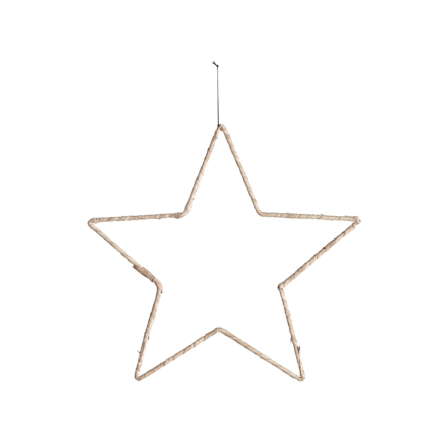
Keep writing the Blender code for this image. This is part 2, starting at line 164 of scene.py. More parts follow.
LEAD_REACH = 2.4 * MM  # along the rod, from one lead to the next one

# How far the strips wander from an even lay, in turns, over what length, and a noise's seed
WANDERS = ((0.24, 21 * MM, 1), (0.12, 13 * MM, 13))
WANDER_LEAD = 12.0 * MM  # the turns wander less where one of them gains more than this
# How unevenly a turn is shared out, in turns, over what length, and a noise's seed
UNEVEN_WIDTHS = (0.14, 30 * MM, 4)

# Noises that run along the rod and round it: their size, the length of their bumps, how many
# bumps there are across the rod, where the two halves of the noise start, and a seed
RoundNoise = namedtuple("RoundNoise", "size length bumps starts seed")
QUICK_WANDER = RoundNoise(0.03, 8 * MM, 1.2, (0.0, 7.5), 2)
LUMPS = RoundNoise(0.17 * MM, 9 * MM, 1.5, (3.5, 13.5), 10)

# Noises over a strip's own surface: the length and the width of their bumps, and a seed
Grain = namedtuple("Grain", "length width seed")
FOLDS = Grain(16 * MM, 1.3 * MM, 6)
BULGES = Grain(9 * MM, 2.4 * MM, 7)
RIDGES = Grain(7 * MM, 0.34 * MM, 8)
SHADES = Grain(30 * MM, 5 * MM, 9)
STAINS = Grain(7 * MM, 0.9 * MM, 12)
FOLD_DEPTH = 0.15 * MM
FOLD_REACH = 0.13  # of the noise from 0 on
BULGE_HEIGHT = 0.18 * MM
RIDGE_HEIGHT = 0.02 * MM

OVERHANG = 0.30 * MM  # of a strip's free edge over the next strip
LIFTED_EDGE = 0.60 * MM  # the most that an edge curls up
CURL_LENGTH = 8 * MM
TUCKED_SHADE = 0.60 * MM  # how far the painted shade of a seam reaches from a strip's tucked edge
FREE_SHADE = 0.15 * MM  # and from its free edge, which is partly a darker edge of the strip
TONE_SPREAD = 0.36
STAIN_DEPTH = 0.6

# What sets apart the textures of two strips of a turn, of two turns, and of windings with one and
# with two strips
OWN_STRIP = 13.7
OWN_TURN = 0.37
OWN_COUNT = 5.3

# A flat strip from its tucked edge to its free edge, as shares of its width and of its relief
FLAT_STRIP = ((0.0, -0.55), (0.05, -0.55), (0.30, -0.2), (0.60, 0.15), (0.88, 0.45), (1.0, 0.5))
STRIP_TURN = 22.0 * MM  # length of strip in one turn
STRIP_WIDTH = 11.0 * MM

# Places where the wrapping is thicker, or thinner below 0. A place is a share of the side after a
# corner, the height is a share of the rod's radius, the reach one of its diameter, and the last
# number is degrees round the rod from its outer edge over its front, or None for all round it.
SWELLINGS = {
    "top": ((0.020, -0.30, 0.9, 0), (0.150, 0.12, 1.5, 0)),
    "right_point": ((-0.046, 0.30, 0.5, 0), (-0.005, 0.06, 0.8, None), (0.067, -0.50, 0.45, 0),
        (0.070, 0.20, 0.5, 180), (0.115, 0.12, 0.5, 0), (0.240, -0.14, 0.5, None),
        (0.560, 0.14, 0.5, None), (-0.130, 0.16, 0.5, 0), (-0.370, 0.14, 0.5, 0)),
    "right_waist": ((0.000, 0.40, 0.5, 180), (0.290, 0.18, 0.6, 0)),
    "right_foot": ((-0.070, 0.20, 0.9, 180), (0.080, -0.33, 0.6, 0), (0.190, 0.14, 1.0, None),
        (0.930, 0.08, 0.7, None), (0.950, 0.20, 0.9, 0)),
    "left_foot": ((0.020, -0.22, 1.2, 0), (0.375, 0.28, 0.8, 180), (0.440, 0.25, 0.4, 180),
        (0.640, 0.25, 1.4, 180)),
    "left_waist": ((0.000, 0.16, 1.4, None), (0.910, 0.20, 0.6, 0)),
    "left_point": ((0.040, -0.30, 0.5, 0), (0.070, 0.15, 0.4, 0), (0.085, 0.50, 0.55, 180)),
    "left_shoulder": ((-0.080, 0.40, 0.6, 180), (-0.070, 0.22, 0.6, 0), (-0.280, 0.18, 0.5, 180),
        (0.085, 0.22, 0.8, None), (0.090, 0.30, 1.1, 180), (0.320, 0.30, 0.5, 180),
        (0.330, 0.12, 2.2, None)),
}
THREAD_BITE = 0.0007  # how deep the thread sinks into the bast under the hitch
BITE_REACH = 0.0026
LOOP_ALONG = 0.0078  # from the top corner down the left leg

# The thread's two strands, from the hang knot down to the hitch: how high they are, how far the
# front one lies in front and the back one behind, and how far right the front and the back one lie
STRANDS = (
    (-0.00190, 0.00032, 0.00012, 0.00004), (-0.00600, 0.00032, 0.00019, 0.00006),
    (-0.01050, 0.00031, 0.00027, 0.00009), (-0.01500, 0.00030, 0.00036, 0.00011),
    (-0.01950, 0.00028, 0.00046, 0.00014), (-0.02400, 0.00026, 0.00055, 0.00018),
    (-0.02850, 0.00024, 0.00063, 0.00021), (-0.03300, 0.00022, 0.00072, 0.00025),
    (-0.03750, 0.00019, 0.00079, 0.00029), (-0.04200, 0.00016, 0.00087, 0.00032),
    (-0.04650, 0.00013, 0.00094, 0.00036), (-0.05100, 0.00010, 0.00101, 0.00042),
    (-0.05550, 0.00007, 0.00107, 0.00048), (-0.06000, 0.00004, 0.00114, 0.00053),
    (-0.06440, 0.00001, 0.00118, 0.00062),
)


# Materials


def connect(tree, node, inputs):
    """Sets a node's inputs, by name or number, to plain values or to other nodes' outputs."""
    for name, value in inputs.items():
        if isinstance(value, bpy.types.NodeSocket):
            tree.links.new(value, node.inputs[name])
        else:
            node.inputs[name].default_value = value


def add_node(tree, kind, output, inputs=None, **settings):
    """One output, by name or number, of a new node with these settings and inputs."""
    node = tree.nodes.new("ShaderNode" + kind)
    for name, value in settings.items():
        setattr(node, name, value)
    connect(tree, node, inputs or {})
    return node.outputs[output]


def add_ramp(tree, amount, stops):
    """A colour ramp's output. Its stops are places and colours, the two outer ones first."""
    node = tree.nodes.new("ShaderNodeValToRGB")
    elements = node.color_ramp.elements
    for element, (place, colour) in zip(elements, stops[:2]):
        element.position = place
        element.color = (*colour, 1.0)
    for place, colour in stops[2:]:
        elements.new(place).color = (*colour, 1.0)
    connect(tree, node, {"Fac": amount})
    return node.outputs["Color"]


def add_bump(tree, height, strength, distance):
    inputs = {"Height": height, "Strength": strength, "Distance": distance}
    return add_node(tree, "Bump", "Normal", inputs)


def new_material(name, roughness, specular):
    material = bpy.data.materials.new(name)
    material.use_nodes = True
    tree = material.node_tree
    shader = tree.nodes["Principled BSDF"]
    connect(tree, shader, {"Roughness": roughness, "Specular IOR Level": specular})
    return material, tree, shader


# The bast's tones, from dark to pale with the middle one last, and what tints them
BAST_TONES = ((0.05, (0.53, 0.378, 0.26)), (0.95, (0.83, 0.755, 0.676)), (0.5, (0.725, 0.615, 0.512)))
PINK_TINT = (1.0, 0.89, 0.86, 1.0)
STRAW_TINT = (0.965, 0.98, 0.87, 1.0)
# Also the colour of dark marks laid on as painted shadows: spots at seams, strips in gaps, the line in
# the right foot's crook
STAIN_AND_SHADOW_COLOUR = (0.17, 0.062, 0.028, 1.0)
# Multiplied in as painted shade in seams and folds, and as the strips' darker edges
PAINTED_SHADE_AND_DARK_EDGE = (0.36, 0.23, 0.15, 1.0)
THREAD_TONES = ((0.35, (0.010, 0.010, 0.013)), (0.75, (0.028, 0.028, 0.036)))
FLOOR_TONES = ((0.0, (0.80, 0.80, 0.79)), (1.0, (0.86, 0.86, 0.85)))


def bast_material():
    """Dry bast: fine fibres along the strip, pale, tan and pinkish strands, painted shade in the seams
    and folds, and darker strip edges.
    """
    material, tree, shader = new_material("Bast", 0.66, 0.30)
    place = add_node(tree, "Attribute", "Vector", attribute_name="strip_place")
    looks = add_node(tree, "Attribute", "Vector", attribute_name="strip_looks")
    hue = add_node(tree, "Attribute", "Fac", attribute_name="strip_hue")
    dark_edges_and_shade, tone, stain = (add_node(tree, "SeparateXYZ", axis, {"Vector": looks}) for axis in "XYZ")

    def streaks(along, across, strip, detail):
        scale = {0: place, 1: (along, across, strip)}
        scaled = add_node(tree, "VectorMath", "Vector", scale, operation="MULTIPLY")
        return add_node(tree, "TexNoise", "Fac", {"Vector": scaled, "Scale": 1.0, "Detail": detail})

    def spread(value, low, high, to_low, to_high):
        reach = {"From Min": low, "From Max": high, "To Min": to_low, "To Max": to_high}
        return add_node(tree, "MapRange", "Result", {"Value": value, **reach})

    def add(first, second):
        return add_node(tree, "Math", "Value", {0: first, 1: second})

    def mix(kind, amount, first, second):
        inputs = {"Factor": amount, 6: first, 7: second}
        return add_node(tree, "Mix", 2, inputs, data_type="RGBA", blend_type=kind)

    broad = spread(streaks(55.0, 1000.0, 1.0, 3.0), 0.3, 0.7, -0.20, 0.20)
    colour = add_ramp(tree, add(broad, tone), BAST_TONES)
    tint = add(spread(streaks(24.0, 260.0, 5.0, 2.0), 0.35, 0.65, -0.45, 0.45), hue)
    colour = mix("MULTIPLY", spread(tint, -0.9, 0.0, 1.0, 0.0), colour, PINK_TINT)
    colour = mix("MULTIPLY", spread(tint, 0.0, 0.9, 0.0, 1.0), colour, STRAW_TINT)
    fine = streaks(130.0, 6500.0, 1.0, 4.0)
    fibre = spread(fine, 0.3, 0.7, 0.84, 1.10)
    fibre = add_node(tree, "CombineColor", "Color", {"Red": fibre, "Green": fibre, "Blue": fibre})
    colour = mix("MULTIPLY", 1.0, colour, fibre)
    # Stains, and the dark marks laid on as painted shadows
    colour = mix("MIX", stain, colour, STAIN_AND_SHADOW_COLOUR)
    # Painted shade in the seams and folds, and the strips' darker edges
    colour = mix("MULTIPLY", dark_edges_and_shade, colour, PAINTED_SHADE_AND_DARK_EDGE)
    connect(tree, shader, {"Base Color": colour, "Normal": add_bump(tree, fine, 0.9, 0.10 * MM)})
    return material


def thread_material():
    """Black thread with a soft bluish shine on its fibres."""
    material, tree, shader = new_material("Black thread", 0.7, 0.25)
    noise = add_node(tree, "TexNoise", "Fac", {"Scale": 9000.0, "Detail": 3.0})
    colour = add_ramp(tree, noise, THREAD_TONES)
    connect(tree, shader, {"Base Color": colour, "Normal": add_bump(tree, noise, 0.4, 0.03 * MM)})
    return material


def floor_material():
    """A pale floor, with a faint glow."""
    material, tree, shader = new_material("Pale floor", 0.9, 0.5)
    colour = add_ramp(tree, add_node(tree, "TexNoise", "Fac", {"Scale": 3.0}), FLOOR_TONES)
    glow = {"Emission Color": (1.0, 1.0, 0.99, 1.0), "Emission Strength": FLOOR_GLOW}
    connect(tree, shader, {"Base Color": colour, **glow})
    return material


# Meshes


def add_object(name, data):
    thing = bpy.data.objects.new(name, data)
    bpy.context.scene.collection.objects.link(thing)
    return thing


# What a piece of bast carries at each of its points: its place on its strip, how much painted shade
# it has in a seam or a fold, with its darker edges, its tone and its stain, and its hue
LOOKS = ("strip_place", "strip_looks", "strip_hue")


def add_mesh(name, points, faces, material, looks=None, flat=0):
    """A mesh object from arrays of points and of faces, with vectors of its looks at each point.

    The last faces, as many as flat says, aren't shaded smooth.
    """
    mesh = bpy.data.meshes.new(name)
    mesh.vertices.add(len(points))
    mesh.vertices.foreach_set("co", np.asarray(points, np.float32).ravel())
    corners = np.concatenate([rows.ravel() for rows in faces])
    sizes = np.concatenate([np.full(len(rows), rows.shape[1]) for rows in faces])
    mesh.loops.add(len(corners))
    mesh.loops.foreach_set("vertex_index", corners.astype(np.int32))
    mesh.polygons.add(len(sizes))
    mesh.polygons.foreach_set("loop_start", (np.cumsum(sizes) - sizes).astype(np.int32))
    mesh.update(calc_edges=True)
    mesh.validate()
    for attribute, values in (looks or {}).items():
        layer = mesh.attributes.new(attribute, "FLOAT_VECTOR", "POINT")
        layer.data.foreach_set("vector", np.asarray(values, np.float32).ravel())
    smooth = np.ones(len(mesh.polygons), bool)
    smooth[len(smooth) - flat :] = False
    mesh.polygons.foreach_set("use_smooth", smooth)
    mesh.materials.append(material)
    return add_object(name, mesh)


def finish_piece(piece, node):
    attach(piece, "root")
    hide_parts(node)
    return piece


def add_bast(name, points, faces, looks, material, flat=0):
    piece = add_mesh("bast_" + name, points, faces, material, dict(zip(LOOKS, looks)), flat)
    return finish_piece(piece, "bast_star")


def add_thread(name, node, forms, material):
    piece = add_mesh(name + "_thread", *join_forms(forms), material)
    return finish_piece(piece, node)


def soft_noise(x, y, seed):
    """Smooth noise from -1 to 1 over two coordinates, with one bump for each unit."""
    table = np.random.default_rng(seed).uniform(-1.0, 1.0, NOISE_CELLS)
    x, y = np.broadcast_arrays(x, y)
    column, line = np.floor(x).astype(int), np.floor(y).astype(int)
    over, up = x - column, y - line
    over, up = over * over * (3 - 2 * over), up * up * (3 - 2 * up)
    column, line = column % NOISE_CELLS[0], line % NOISE_CELLS[1]
    after, above = (column + 1) % NOISE_CELLS[0], (line + 1) % NOISE_CELLS[1]
    low = table[column, line] * (1 - over) + table[after, line] * over
    high = table[column, above] * (1 - over) + table[after, above] * over
    return low * (1 - up) + high * up


def grain_at(grain, length, across, own=0.0):
    return soft_noise(length / grain.length, across / grain.width + own, grain.seed)


def round_noises(noise, along, angle):
    """The two halves of a noise that runs along the rod and round it."""
    for half, wave in enumerate((np.cos(angle), np.sin(angle))):
        place = noise.bumps * wave + noise.starts[half]
        yield noise.size * soft_noise(along / noise.length, place, noise.seed + half)


def smooth_step(low, high, value):
    share = np.clip((value - low) / (high - low), 0.0, 1.0)
    return share * share * (3 - 2 * share)


def bell(value):
    return np.exp(-(value**2))


def unit(vectors):
    return vectors / np.linalg.norm(vectors, axis=-1, keepdims=True)


def adding_up(gaps):
    return np.concatenate([[0.0], np.cumsum(gaps)])


def lengths_to(path):
    """How long a path is up to each of its points."""
    return adding_up(np.linalg.norm(np.diff(path, axis=0), axis=1))


def read_at(wanted, known, rows):
    """Rows of numbers that are given at known places, read between them at the wanted ones."""
    return np.stack([np.interp(wanted, known, column) for column in rows.T], axis=-1)


# The rod's centre line


def left_of(direction):
    """The direction to the left of a way in the star's plane, seen from the front."""
    return Vector((-direction.z, 0.0, direction.x))


def corner_place(index):
    corner = CORNERS[index % len(CORNERS)]
    return STAR_TOP + Vector((corner.across, 0.0, corner.up)) * STAR_WIDTH


def is_point(index):
    return index % 2 == 0


Bend = namedtuple("Bend", "corner way_in way_out turn radius reach half_open")


def find_bend(index):
    """The arc that rounds off one corner of the centre line."""
    place = corner_place(index)
    way_in = (place - corner_place(index - 1)).normalized()
    way_out = (corner_place(index + 1) - place).normalized()
    turn = way_in.angle(way_out)
    if way_in.cross(way_out).dot(FRONT) < 0:
        turn = -turn
    corner = CORNERS[index % len(CORNERS)]
    radius = corner.bend * (POINT_BEND if is_point(index) else INNER_BEND)
    reach = radius * math.tan(abs(turn) / 2)
    return Bend(place, way_in, way_out, turn, radius, reach, (math.pi - abs(turn)) / 2)


# A station's room is how far the rod may reach to its left and to its right
Station = namedtuple("Station", "place way room side share crowded")


def straight_stations(index):
    """Stations along one straight side. In a point, the other leg leaves them little room."""
    bend, after = find_bend(index), find_bend(index + 1)
    length = (after.corner - bend.corner).length
    run = length - bend.reach - after.reach
    count = math.ceil(run / PATH_STEP)
    for step in range(count):
        gone = bend.reach + run * step / count
        room = [2 * ROD_RADIUS, 2 * ROD_RADIUS]
        near = gone * math.tan(bend.half_open) - CREASE
        far = (length - gone) * math.tan(after.half_open) - CREASE
        for turn, limit in ((bend.turn, near), (after.turn, far)):
            hand = 0 if turn > 0 else 1
            room[hand] = min(room[hand], limit)
        bow = CORNERS[index % len(CORNERS)].bow * STAR_WIDTH * math.sin(math.pi * step / count) ** 2
        place = bend.corner + bend.way_out * gone + left_of(bend.way_out) * bow
        from_arc = gone - bend.reach if is_point(index) else length - gone - after.reach
        crowded = from_arc < CROWDED_REACH
        yield Station(place, bend.way_out, room, index, gone / length, crowded)


def bend_stations(index):
    """Stations round the arc of one corner."""
    bend = find_bend(index)
    hand = 1 if bend.turn > 0 else -1
    centre = bend.corner - bend.way_in * bend.reach + left_of(bend.way_in) * bend.radius * hand
    count = math.ceil(abs(bend.turn) * bend.radius / PATH_STEP)
    for step in range(count):
        angle = bend.turn * step / count
        way = math.cos(angle) * bend.way_in + math.sin(angle) * left_of(bend.way_in)
        place = centre - left_of(way) * bend.radius * hand
        room = [bend.radius - CREASE, 2 * ROD_RADIUS][::hand]
        side, share = (index, 0.0) if 2 * step > count else (index - 1, 1.0)
        yield Station(place, way, room, side, share, is_point(index))


def smooth_round(values, reach):
    """Values along the closed line, averaged over a window."""
    count = max(1, round(reach / PATH_STEP))
    padded = np.concatenate([values[-count:], values, values[:count]])
    window = np.hanning(2 * count + 1)
    return np.convolve(padded, window / window.sum(), "same")[count:-count]


def winding_at(station):
    """How the rod is wound at a station: the last winding that starts before it on its side."""
    windings = WINDINGS[NAMES[station.side % len(NAMES)]]
    return [winding for winding in windings if winding.share <= station.share][-1]


class Rod:
    """The closed centre line, clockwise from the left shoulder, and how it is wound."""

    def __init__(self):
        stations = []
        for index in range(-1, len(CORNERS) - 1):
            stations.extend(bend_stations(index))
            stations.extend(straight_stations(index))
        self.place = np.array([station.place for station in stations])
        self.way = np.array([station.way for station in stations])
        self.room = np.array([station.room for station in stations])
        gaps = np.linalg.norm(np.roll(self.place, -1, axis=0) - self.place, axis=1)
        self.along = adding_up(gaps)
        windings = [winding_at(station) for station in stations]
        crowded = np.array([station.crowded for station in stations])
        lead = np.array([winding.lead for winding in windings]) * MM
        lead[crowded] = CROWDED_LEAD
        turns = adding_up(gaps / smooth_round(lead, LEAD_REACH))
        self.whole = round(turns[-1])
        self.turns = turns * self.whole / turns[-1]
        self.values = {}
        for field in ("thick", "lead", "relief", "crown", "tone", "hue", "warmth"):
            row = np.array([getattr(winding, field) for winding in windings])
            unit = MM if field in ("lead", "relief") else 1.0
            self.values[field] = smooth_round(row * unit, BLEND_REACH)
        strips = np.array([winding.strips for winding in windings])
        for count in range(1, MOST_STRIPS + 1):
            self.values["strips_%d" % count] = smooth_round((strips == count) * 1.0, BLEND_REACH / 2)

    def at(self, along, values):
        """Values at places along the closed line, one number or one vector each."""
        along = np.mod(along, self.along[-1])
        closed = np.concatenate([values, values[:1]])
        return (np.interp if closed.ndim == 1 else read_at)(along, self.along, closed)

    def wound_to(self, turns):
        """How far along the rod each count of turns reaches."""
        return np.interp(np.mod(turns, self.whole), self.turns, self.along)

    def nearest(self, point):
        """How far along the rod its centre line passes a point."""
        return self.along[np.argmin(np.linalg.norm(self.place - np.array(point), axis=1))]


rod = Rod()


def side_place(name, share):
    """A point of the straight line from a corner to the next, or to the one before it."""
    index = NAMES.index(name)
    here, following = corner_place(index), corner_place(index + 1)
    if share < 0:
        here, following = corner_place(index - 1), here
        share += 1
    return here.lerp(following, share)


def down_left_leg(way):
    """A point of the straight line down from the top corner to the left shoulder."""
    top = find_bend(0)
    return top.corner - top.way_in * way


def base_radius(along, angle):
    """The rod's radius without its strips: its thickness, its swellings and the thread's bite."""
    radius = ROD_RADIUS * rod.at(along, rod.values["thick"])
    place = rod.at(along, rod.place)
    for corner, swellings in SWELLINGS.items():
        for share, height, reach, facing in swellings:
            centre = np.array(side_place(corner, share))
            away = np.linalg.norm(place - centre, axis=-1) / (reach * 2 * ROD_RADIUS)
            lift = height * ROD_RADIUS * bell(away)
            if facing is not None:
                lift = lift * np.maximum(0.0, np.cos(angle - math.radians(facing)))
            radius = radius + lift
    centre = np.array(down_left_leg(LOOP_ALONG))
    away = np.linalg.norm(place - centre, axis=-1) / BITE_REACH
    return radius - THREAD_BITE * bell(away)


def put_round(along, angle, radius):
    """Points round the rod, kept out of the other leg in the crook of a point."""
    place = rod.at(along, rod.place)
    way = unit(rod.at(along, rod.way))
    left = np.stack([-way[..., 2], np.zeros(way.shape[:-1]), way[..., 0]], axis=-1)
    room = rod.at(along, rod.room)
    sideways = radius * np.cos(angle)
    limit = np.where(sideways > 0, room[..., 0], room[..., 1])
    soft = SQUEEZED_FROM * limit
    size = np.abs(sideways)
    squeezed = limit - (limit - soft) * np.exp(-np.maximum(size - soft, 0.0) / (limit - soft))
    sideways = np.sign(sideways) * np.where(size > soft, squeezed, size)
    forwards = radius * np.sin(angle)
    return place + left * sideways[..., None] + np.array(FRONT) * forwards[..., None]


# Paths and tubes


def smooth_path(points, step):
    """Evenly spaced points on a Catmull-Rom curve through the given ones."""
    points = np.asarray(points, float)
    padded = np.concatenate([points[:1], points, points[-1:]])
    dense = []
    for a, b, c, d in zip(padded, padded[1:], padded[2:], padded[3:]):
        t = np.linspace(0.0, 1.0, CURVE_STEPS, endpoint=False)[:, None]
        square = 2 * a - 5 * b + 4 * c - d
        cube = 3 * b - a - 3 * c + d
        dense.append((2 * b + (c - a) * t + square * t**2 + cube * t**3) / 2)
    dense = np.concatenate([*dense, points[-1:]])
    gone = lengths_to(dense)
    wanted = np.linspace(0.0, gone[-1], max(2, math.ceil(gone[-1] / step) + 1))
    return read_at(wanted, gone, dense)


def carried_frame(path):
    """Two directions across a path, carried along it without twist."""
    way = unit(np.gradient(path, axis=0))
    across = np.zeros_like(way)
    last = np.array(Vector(way[0]).orthogonal())
    for k, direction in enumerate(way):
        last = last - direction * (last @ direction)
        last = last / np.linalg.norm(last)
        across[k] = last
    return across, np.cross(way, across)


def ring_faces(count, around):
    """Faces between rings of points, and the points' numbers, a row for each ring."""
    number = np.arange(count * around).reshape(count, around)
    after = np.roll(number, -1, axis=1)
    faces = np.stack([number[:-1], after[:-1], after[1:], number[1:]], axis=-1)
    return faces.reshape(-1, 4), number


def tube(path, radii, sides, turn=None, offset=0.0):
    """Points and faces of a closed tube round a path, or of one that winds round it."""
    across, over = carried_frame(path)
    turn = np.zeros(len(path)) if turn is None else turn
    middle = path + (across * np.cos(turn)[:, None] + over * np.sin(turn)[:, None]) * offset
    angle = np.arange(sides) * 2 * math.pi / sides
    ring = across[:, None] * np.cos(angle)[None, :, None] + over[:, None] * np.sin(angle)[None, :, None]
    points = middle[:, None] + ring * np.asarray(radii).reshape(-1, 1, 1)
    quads, number = ring_faces(len(path), sides)
    return points.reshape(-1, 3), [quads, np.stack([number[0, ::-1], number[-1]])]


def join_forms(forms):
    """Several sets of points and faces as one."""
    points, faces, count = [], [], 0
    for form_points, form_faces in forms:
        points.append(form_points)
        faces.extend(rows + count for rows in form_faces)
        count += len(form_points)
    return np.concatenate(points), faces


# The wound strips


def strip_wander(turn_share, along, angle, lead):
    """How far the strips lie ahead of an even lay, in turns."""
    wander = sum(size * soft_noise(along / length, 0.5, seed) for size, length, seed in WANDERS)
    wander = wander * np.minimum(1.0, WANDER_LEAD / lead)
    wander = sum(round_noises(QUICK_WANDER, along, angle), wander)
    size, length, seed = UNEVEN_WIDTHS
    return wander + size * np.cos(2 * math.pi * turn_share) * soft_noise(along / length, 4.5, seed)


def strip_form(share, length, across, own, relief, crown):
    """A strip's height over the rod, and the painted shade of each of its points, by how deep in a seam
    or a fold it is, with the strip's darker free edge.
    """
    flat = np.interp(share, *zip(*FLAT_STRIP))
    round_strip = np.sqrt(np.maximum(0.0, 1 - (2 * share - 1) ** 2)) * 1.4 - 1.0
    height = relief * (flat * (1 - crown) + round_strip * crown)
    curl = np.maximum(0.0, soft_noise(length / CURL_LENGTH, own, 5) - 0.1)
    height = height + LIFTED_EDGE * curl * smooth_step(0.7, 1.0, share)

    inner = smooth_step(0.0, 0.15, share) * smooth_step(0.0, 0.15, 1 - share)
    crease = bell(grain_at(FOLDS, length, across, own) / FOLD_REACH) * inner
    height = height + BULGE_HEIGHT * grain_at(BULGES, length, across, own) * (0.3 + 0.7 * inner)
    height = height - FOLD_DEPTH * crease + RIDGE_HEIGHT * grain_at(RIDGES, length, across, own)

    # Painted shade at the foot of each step, under the free edge of the strip before, stronger where
    # the step is higher or an edge curls up; a little more at the free edge, which is also darker; and
    # painted shade in the folds
    from_low, from_high = share * STRIP_WIDTH, (1 - share) * STRIP_WIDTH
    dark_edges_and_shade = 0.95 * bell(from_low / TUCKED_SHADE) + 0.25 * np.exp(-from_high / FREE_SHADE)
    dark_edges_and_shade = dark_edges_and_shade * np.clip(relief / (0.4 * MM) + curl, 0.0, 1.3)
    return height, np.maximum(dark_edges_and_shade, 0.45 * crease)


def wound_surface(step, first, angle):
    """Points of the wound surface, with what its material needs to know of each.

    Steps count rows from a turn on, and a strip's edges lie on rows. At angle 0, on the rod's
    outer edge, the rod is wound up to the row's turn, and that falls back by one on the way round.
    """
    turns = first + step / ROWS
    even = turns - angle / (2 * math.pi)
    along = rod.wound_to(even)
    values = {name: rod.at(along, field) for name, field in rod.values.items()}
    along = rod.wound_to(even + strip_wander(turns, along, angle, values["lead"]))
    height, dark_edges_and_shade, tone, overhang, place = 0.0, 0.0, 0.0, 0.0, None
    for count in range(1, MOST_STRIPS + 1):
        weight = values["strips_%d" % count]
        number = step * count // ROWS
        share = (step * count - number * ROWS) / (ROWS - count)
        turn = first + number // count
        across = share * STRIP_WIDTH / count
        own = number % count * OWN_STRIP + count * OWN_COUNT
        length = (angle / (2 * math.pi) - turn) * STRIP_TURN
        lift, dark = strip_form(share, length, across, own, values["relief"], values["crown"])
        shade = grain_at(SHADES, length, across, own)
        height = height + weight * lift
        dark_edges_and_shade = dark_edges_and_shade + weight * dark
        tone = tone + weight * shade
        overhang = overhang + weight * smooth_step(0.85, 1.0, share)
        here = np.stack([length, across, own + turn * OWN_TURN], axis=-1)
        place = here if place is None else np.where(weight[..., None] > 0.5, here, place)
    along = along + OVERHANG * overhang * (1 - values["crown"])
    radius = base_radius(along, angle) + height + sum(round_noises(LUMPS, along, angle))
    tone = np.clip(values["tone"] + TONE_SPREAD * tone, 0.0, 1.0)
    stain = smooth_step(0.55, 0.90, grain_at(STAINS, place[..., 0], place[..., 1]))
    looks = np.stack([np.clip(dark_edges_and_shade, 0.0, 1.0), tone, STAIN_DEPTH * stain * values["warmth"]], axis=-1)
    return put_round(along, angle, radius), place, looks, np.stack([values["hue"]] * 3, axis=-1)


def wound_arm(name, first, last, material):
    """One arm of the star, from turn to turn: a closed skin of wound strips."""
    rows = (last - first) * ROWS + 1
    step, side = np.broadcast_arrays(np.arange(rows)[:, None], np.arange(SIDES + 1)[None, :])
    points, *looks = wound_surface(step, first, side * 2 * math.pi / SIDES)

    joined = np.arange(rows * (SIDES + 1)).reshape(rows, SIDES + 1)
    joined[ROWS:, SIDES] = joined[:-ROWS, 0]
    quads = np.stack([joined[:-1, :-1], joined[:-1, 1:], joined[1:, 1:], joined[1:, :-1]], axis=-1)
    quads = quads.reshape(-1, 4)

    low_rim = np.concatenate([joined[0, :-1], joined[:ROWS, SIDES]])
    high_rim = np.concatenate([joined[-1, ::-1], joined[-2 : -ROWS - 1 : -1, 0]])
    flat = points.reshape(-1, 3)
    middles, used = [], [quads.ravel()]
    for rim in (low_rim, high_rim):
        middle = np.full(len(rim), len(flat) + len(middles))
        middles.append(flat[rim].mean(axis=0))
        used.append(np.stack([np.roll(rim, -1), rim, middle], axis=-1).ravel())

    kept, where = np.unique(np.concatenate(used), return_inverse=True)
    points = np.concatenate([flat, middles])[kept]
    looks = [np.concatenate([rows.reshape(-1, 3), np.zeros((2, 3))])[kept] for rows in looks]
    ends = where[quads.size :].reshape(-1, 3)
    add_bast(name, points, [where[: quads.size].reshape(-1, 4), ends], looks, material, len(ends))


# The arms and where each begins: a corner and a share of the side after it
ARMS = (
    ("top_arm", "left_point", 0.70),
    ("right_arm", "right_shoulder", 0.27),
    ("right_leg", "right_point", 0.55),
    ("left_leg", "crotch", 0.30),
    ("left_arm", "left_foot", 0.50),
)


def wind_star(material):
    """The star's five arms, parted along straight sides."""
    starts = []
    for name, corner, share in ARMS:
        along = rod.nearest(side_place(corner, share))
        starts.append(round(np.interp(along, rod.along, rod.turns)))
    if starts[0] > starts[1]:
        starts[0] -= rod.whole
    starts.append(starts[0] + rod.whole)
    for (name, _, _), first, last in zip(ARMS, starts, starts[1:]):
        wound_arm(name, first, last, material)


# Strips and fibres that lie loose on the winding

FIBRE_RADIUS = 0.05 * MM
FIBRE_SIDES = 5
FIBRE_STEP = 0.25 * MM
LAID_STEP = 0.35 * MM
LAID_COLUMNS = 11  # across a laid strip's upper side
LAID_LIFT = 0.22 * MM  # of its underside over the winding's mean surface
LAID_ROOT = 0.35 * MM  # how deep its edges reach below that
LAID_TAPER = 1.0 * MM  # over which it narrows at its ends
LAID_FOLDS = Grain(9 * MM, 0.7 * MM, 22)
LAID_UNEVEN = 0.18  # how much its width varies
LAID_LUMP = 0.05 * MM
LAID_CLEAR = (0.7 * MM, 1.2 * MM)  # heights from which on it comes clear of the winding
OWN_LAID = 1.7  # sets apart the textures of two laid strips
STAIN_EDGE = 0.6 * MM  # over which a stain fades

# A strip laid on the rod. Each point of its route is a share of the side after its corner (below 0,
# of the side before), degrees round the rod from its outer edge over its front, and a height over
# the winding in millimetres, if any. Its width and thickness are in millimetres, its ragged ends
# vary by a length in millimetres, its tone runs from 0 to 1, its root and its tip are stained dark
# over lengths in millimetres, its hue runs from -1, pinkish, to 1, straw, its edges take painted
# shade, as of the gaps beside them, and are partly darker strip edges, by a share, and its blotches
# are stained by a share.
Laid = namedtuple("Laid", "corner route width thickness ragged tone root tip hue edge blotches",
                  defaults=(0, 0, 0.0, 0.55, 0.0))


def on_rod(corner, share, degrees, height=0.0):
    """Where a point of a route lies: along the rod, round it in metres and over it."""
    return rod.nearest(side_place(corner, share)), math.radians(degrees) * ROD_RADIUS, height * MM


def route_on_rod(corner, route):
    """A route's places, in one run where it passes the start of the closed line."""
    places = np.array([on_rod(corner, *point) for point in route])
    whole = rod.along[-1]
    places[:, 0] -= whole * np.round((places[:, 0] - places[0, 0]) / whole)
    return places


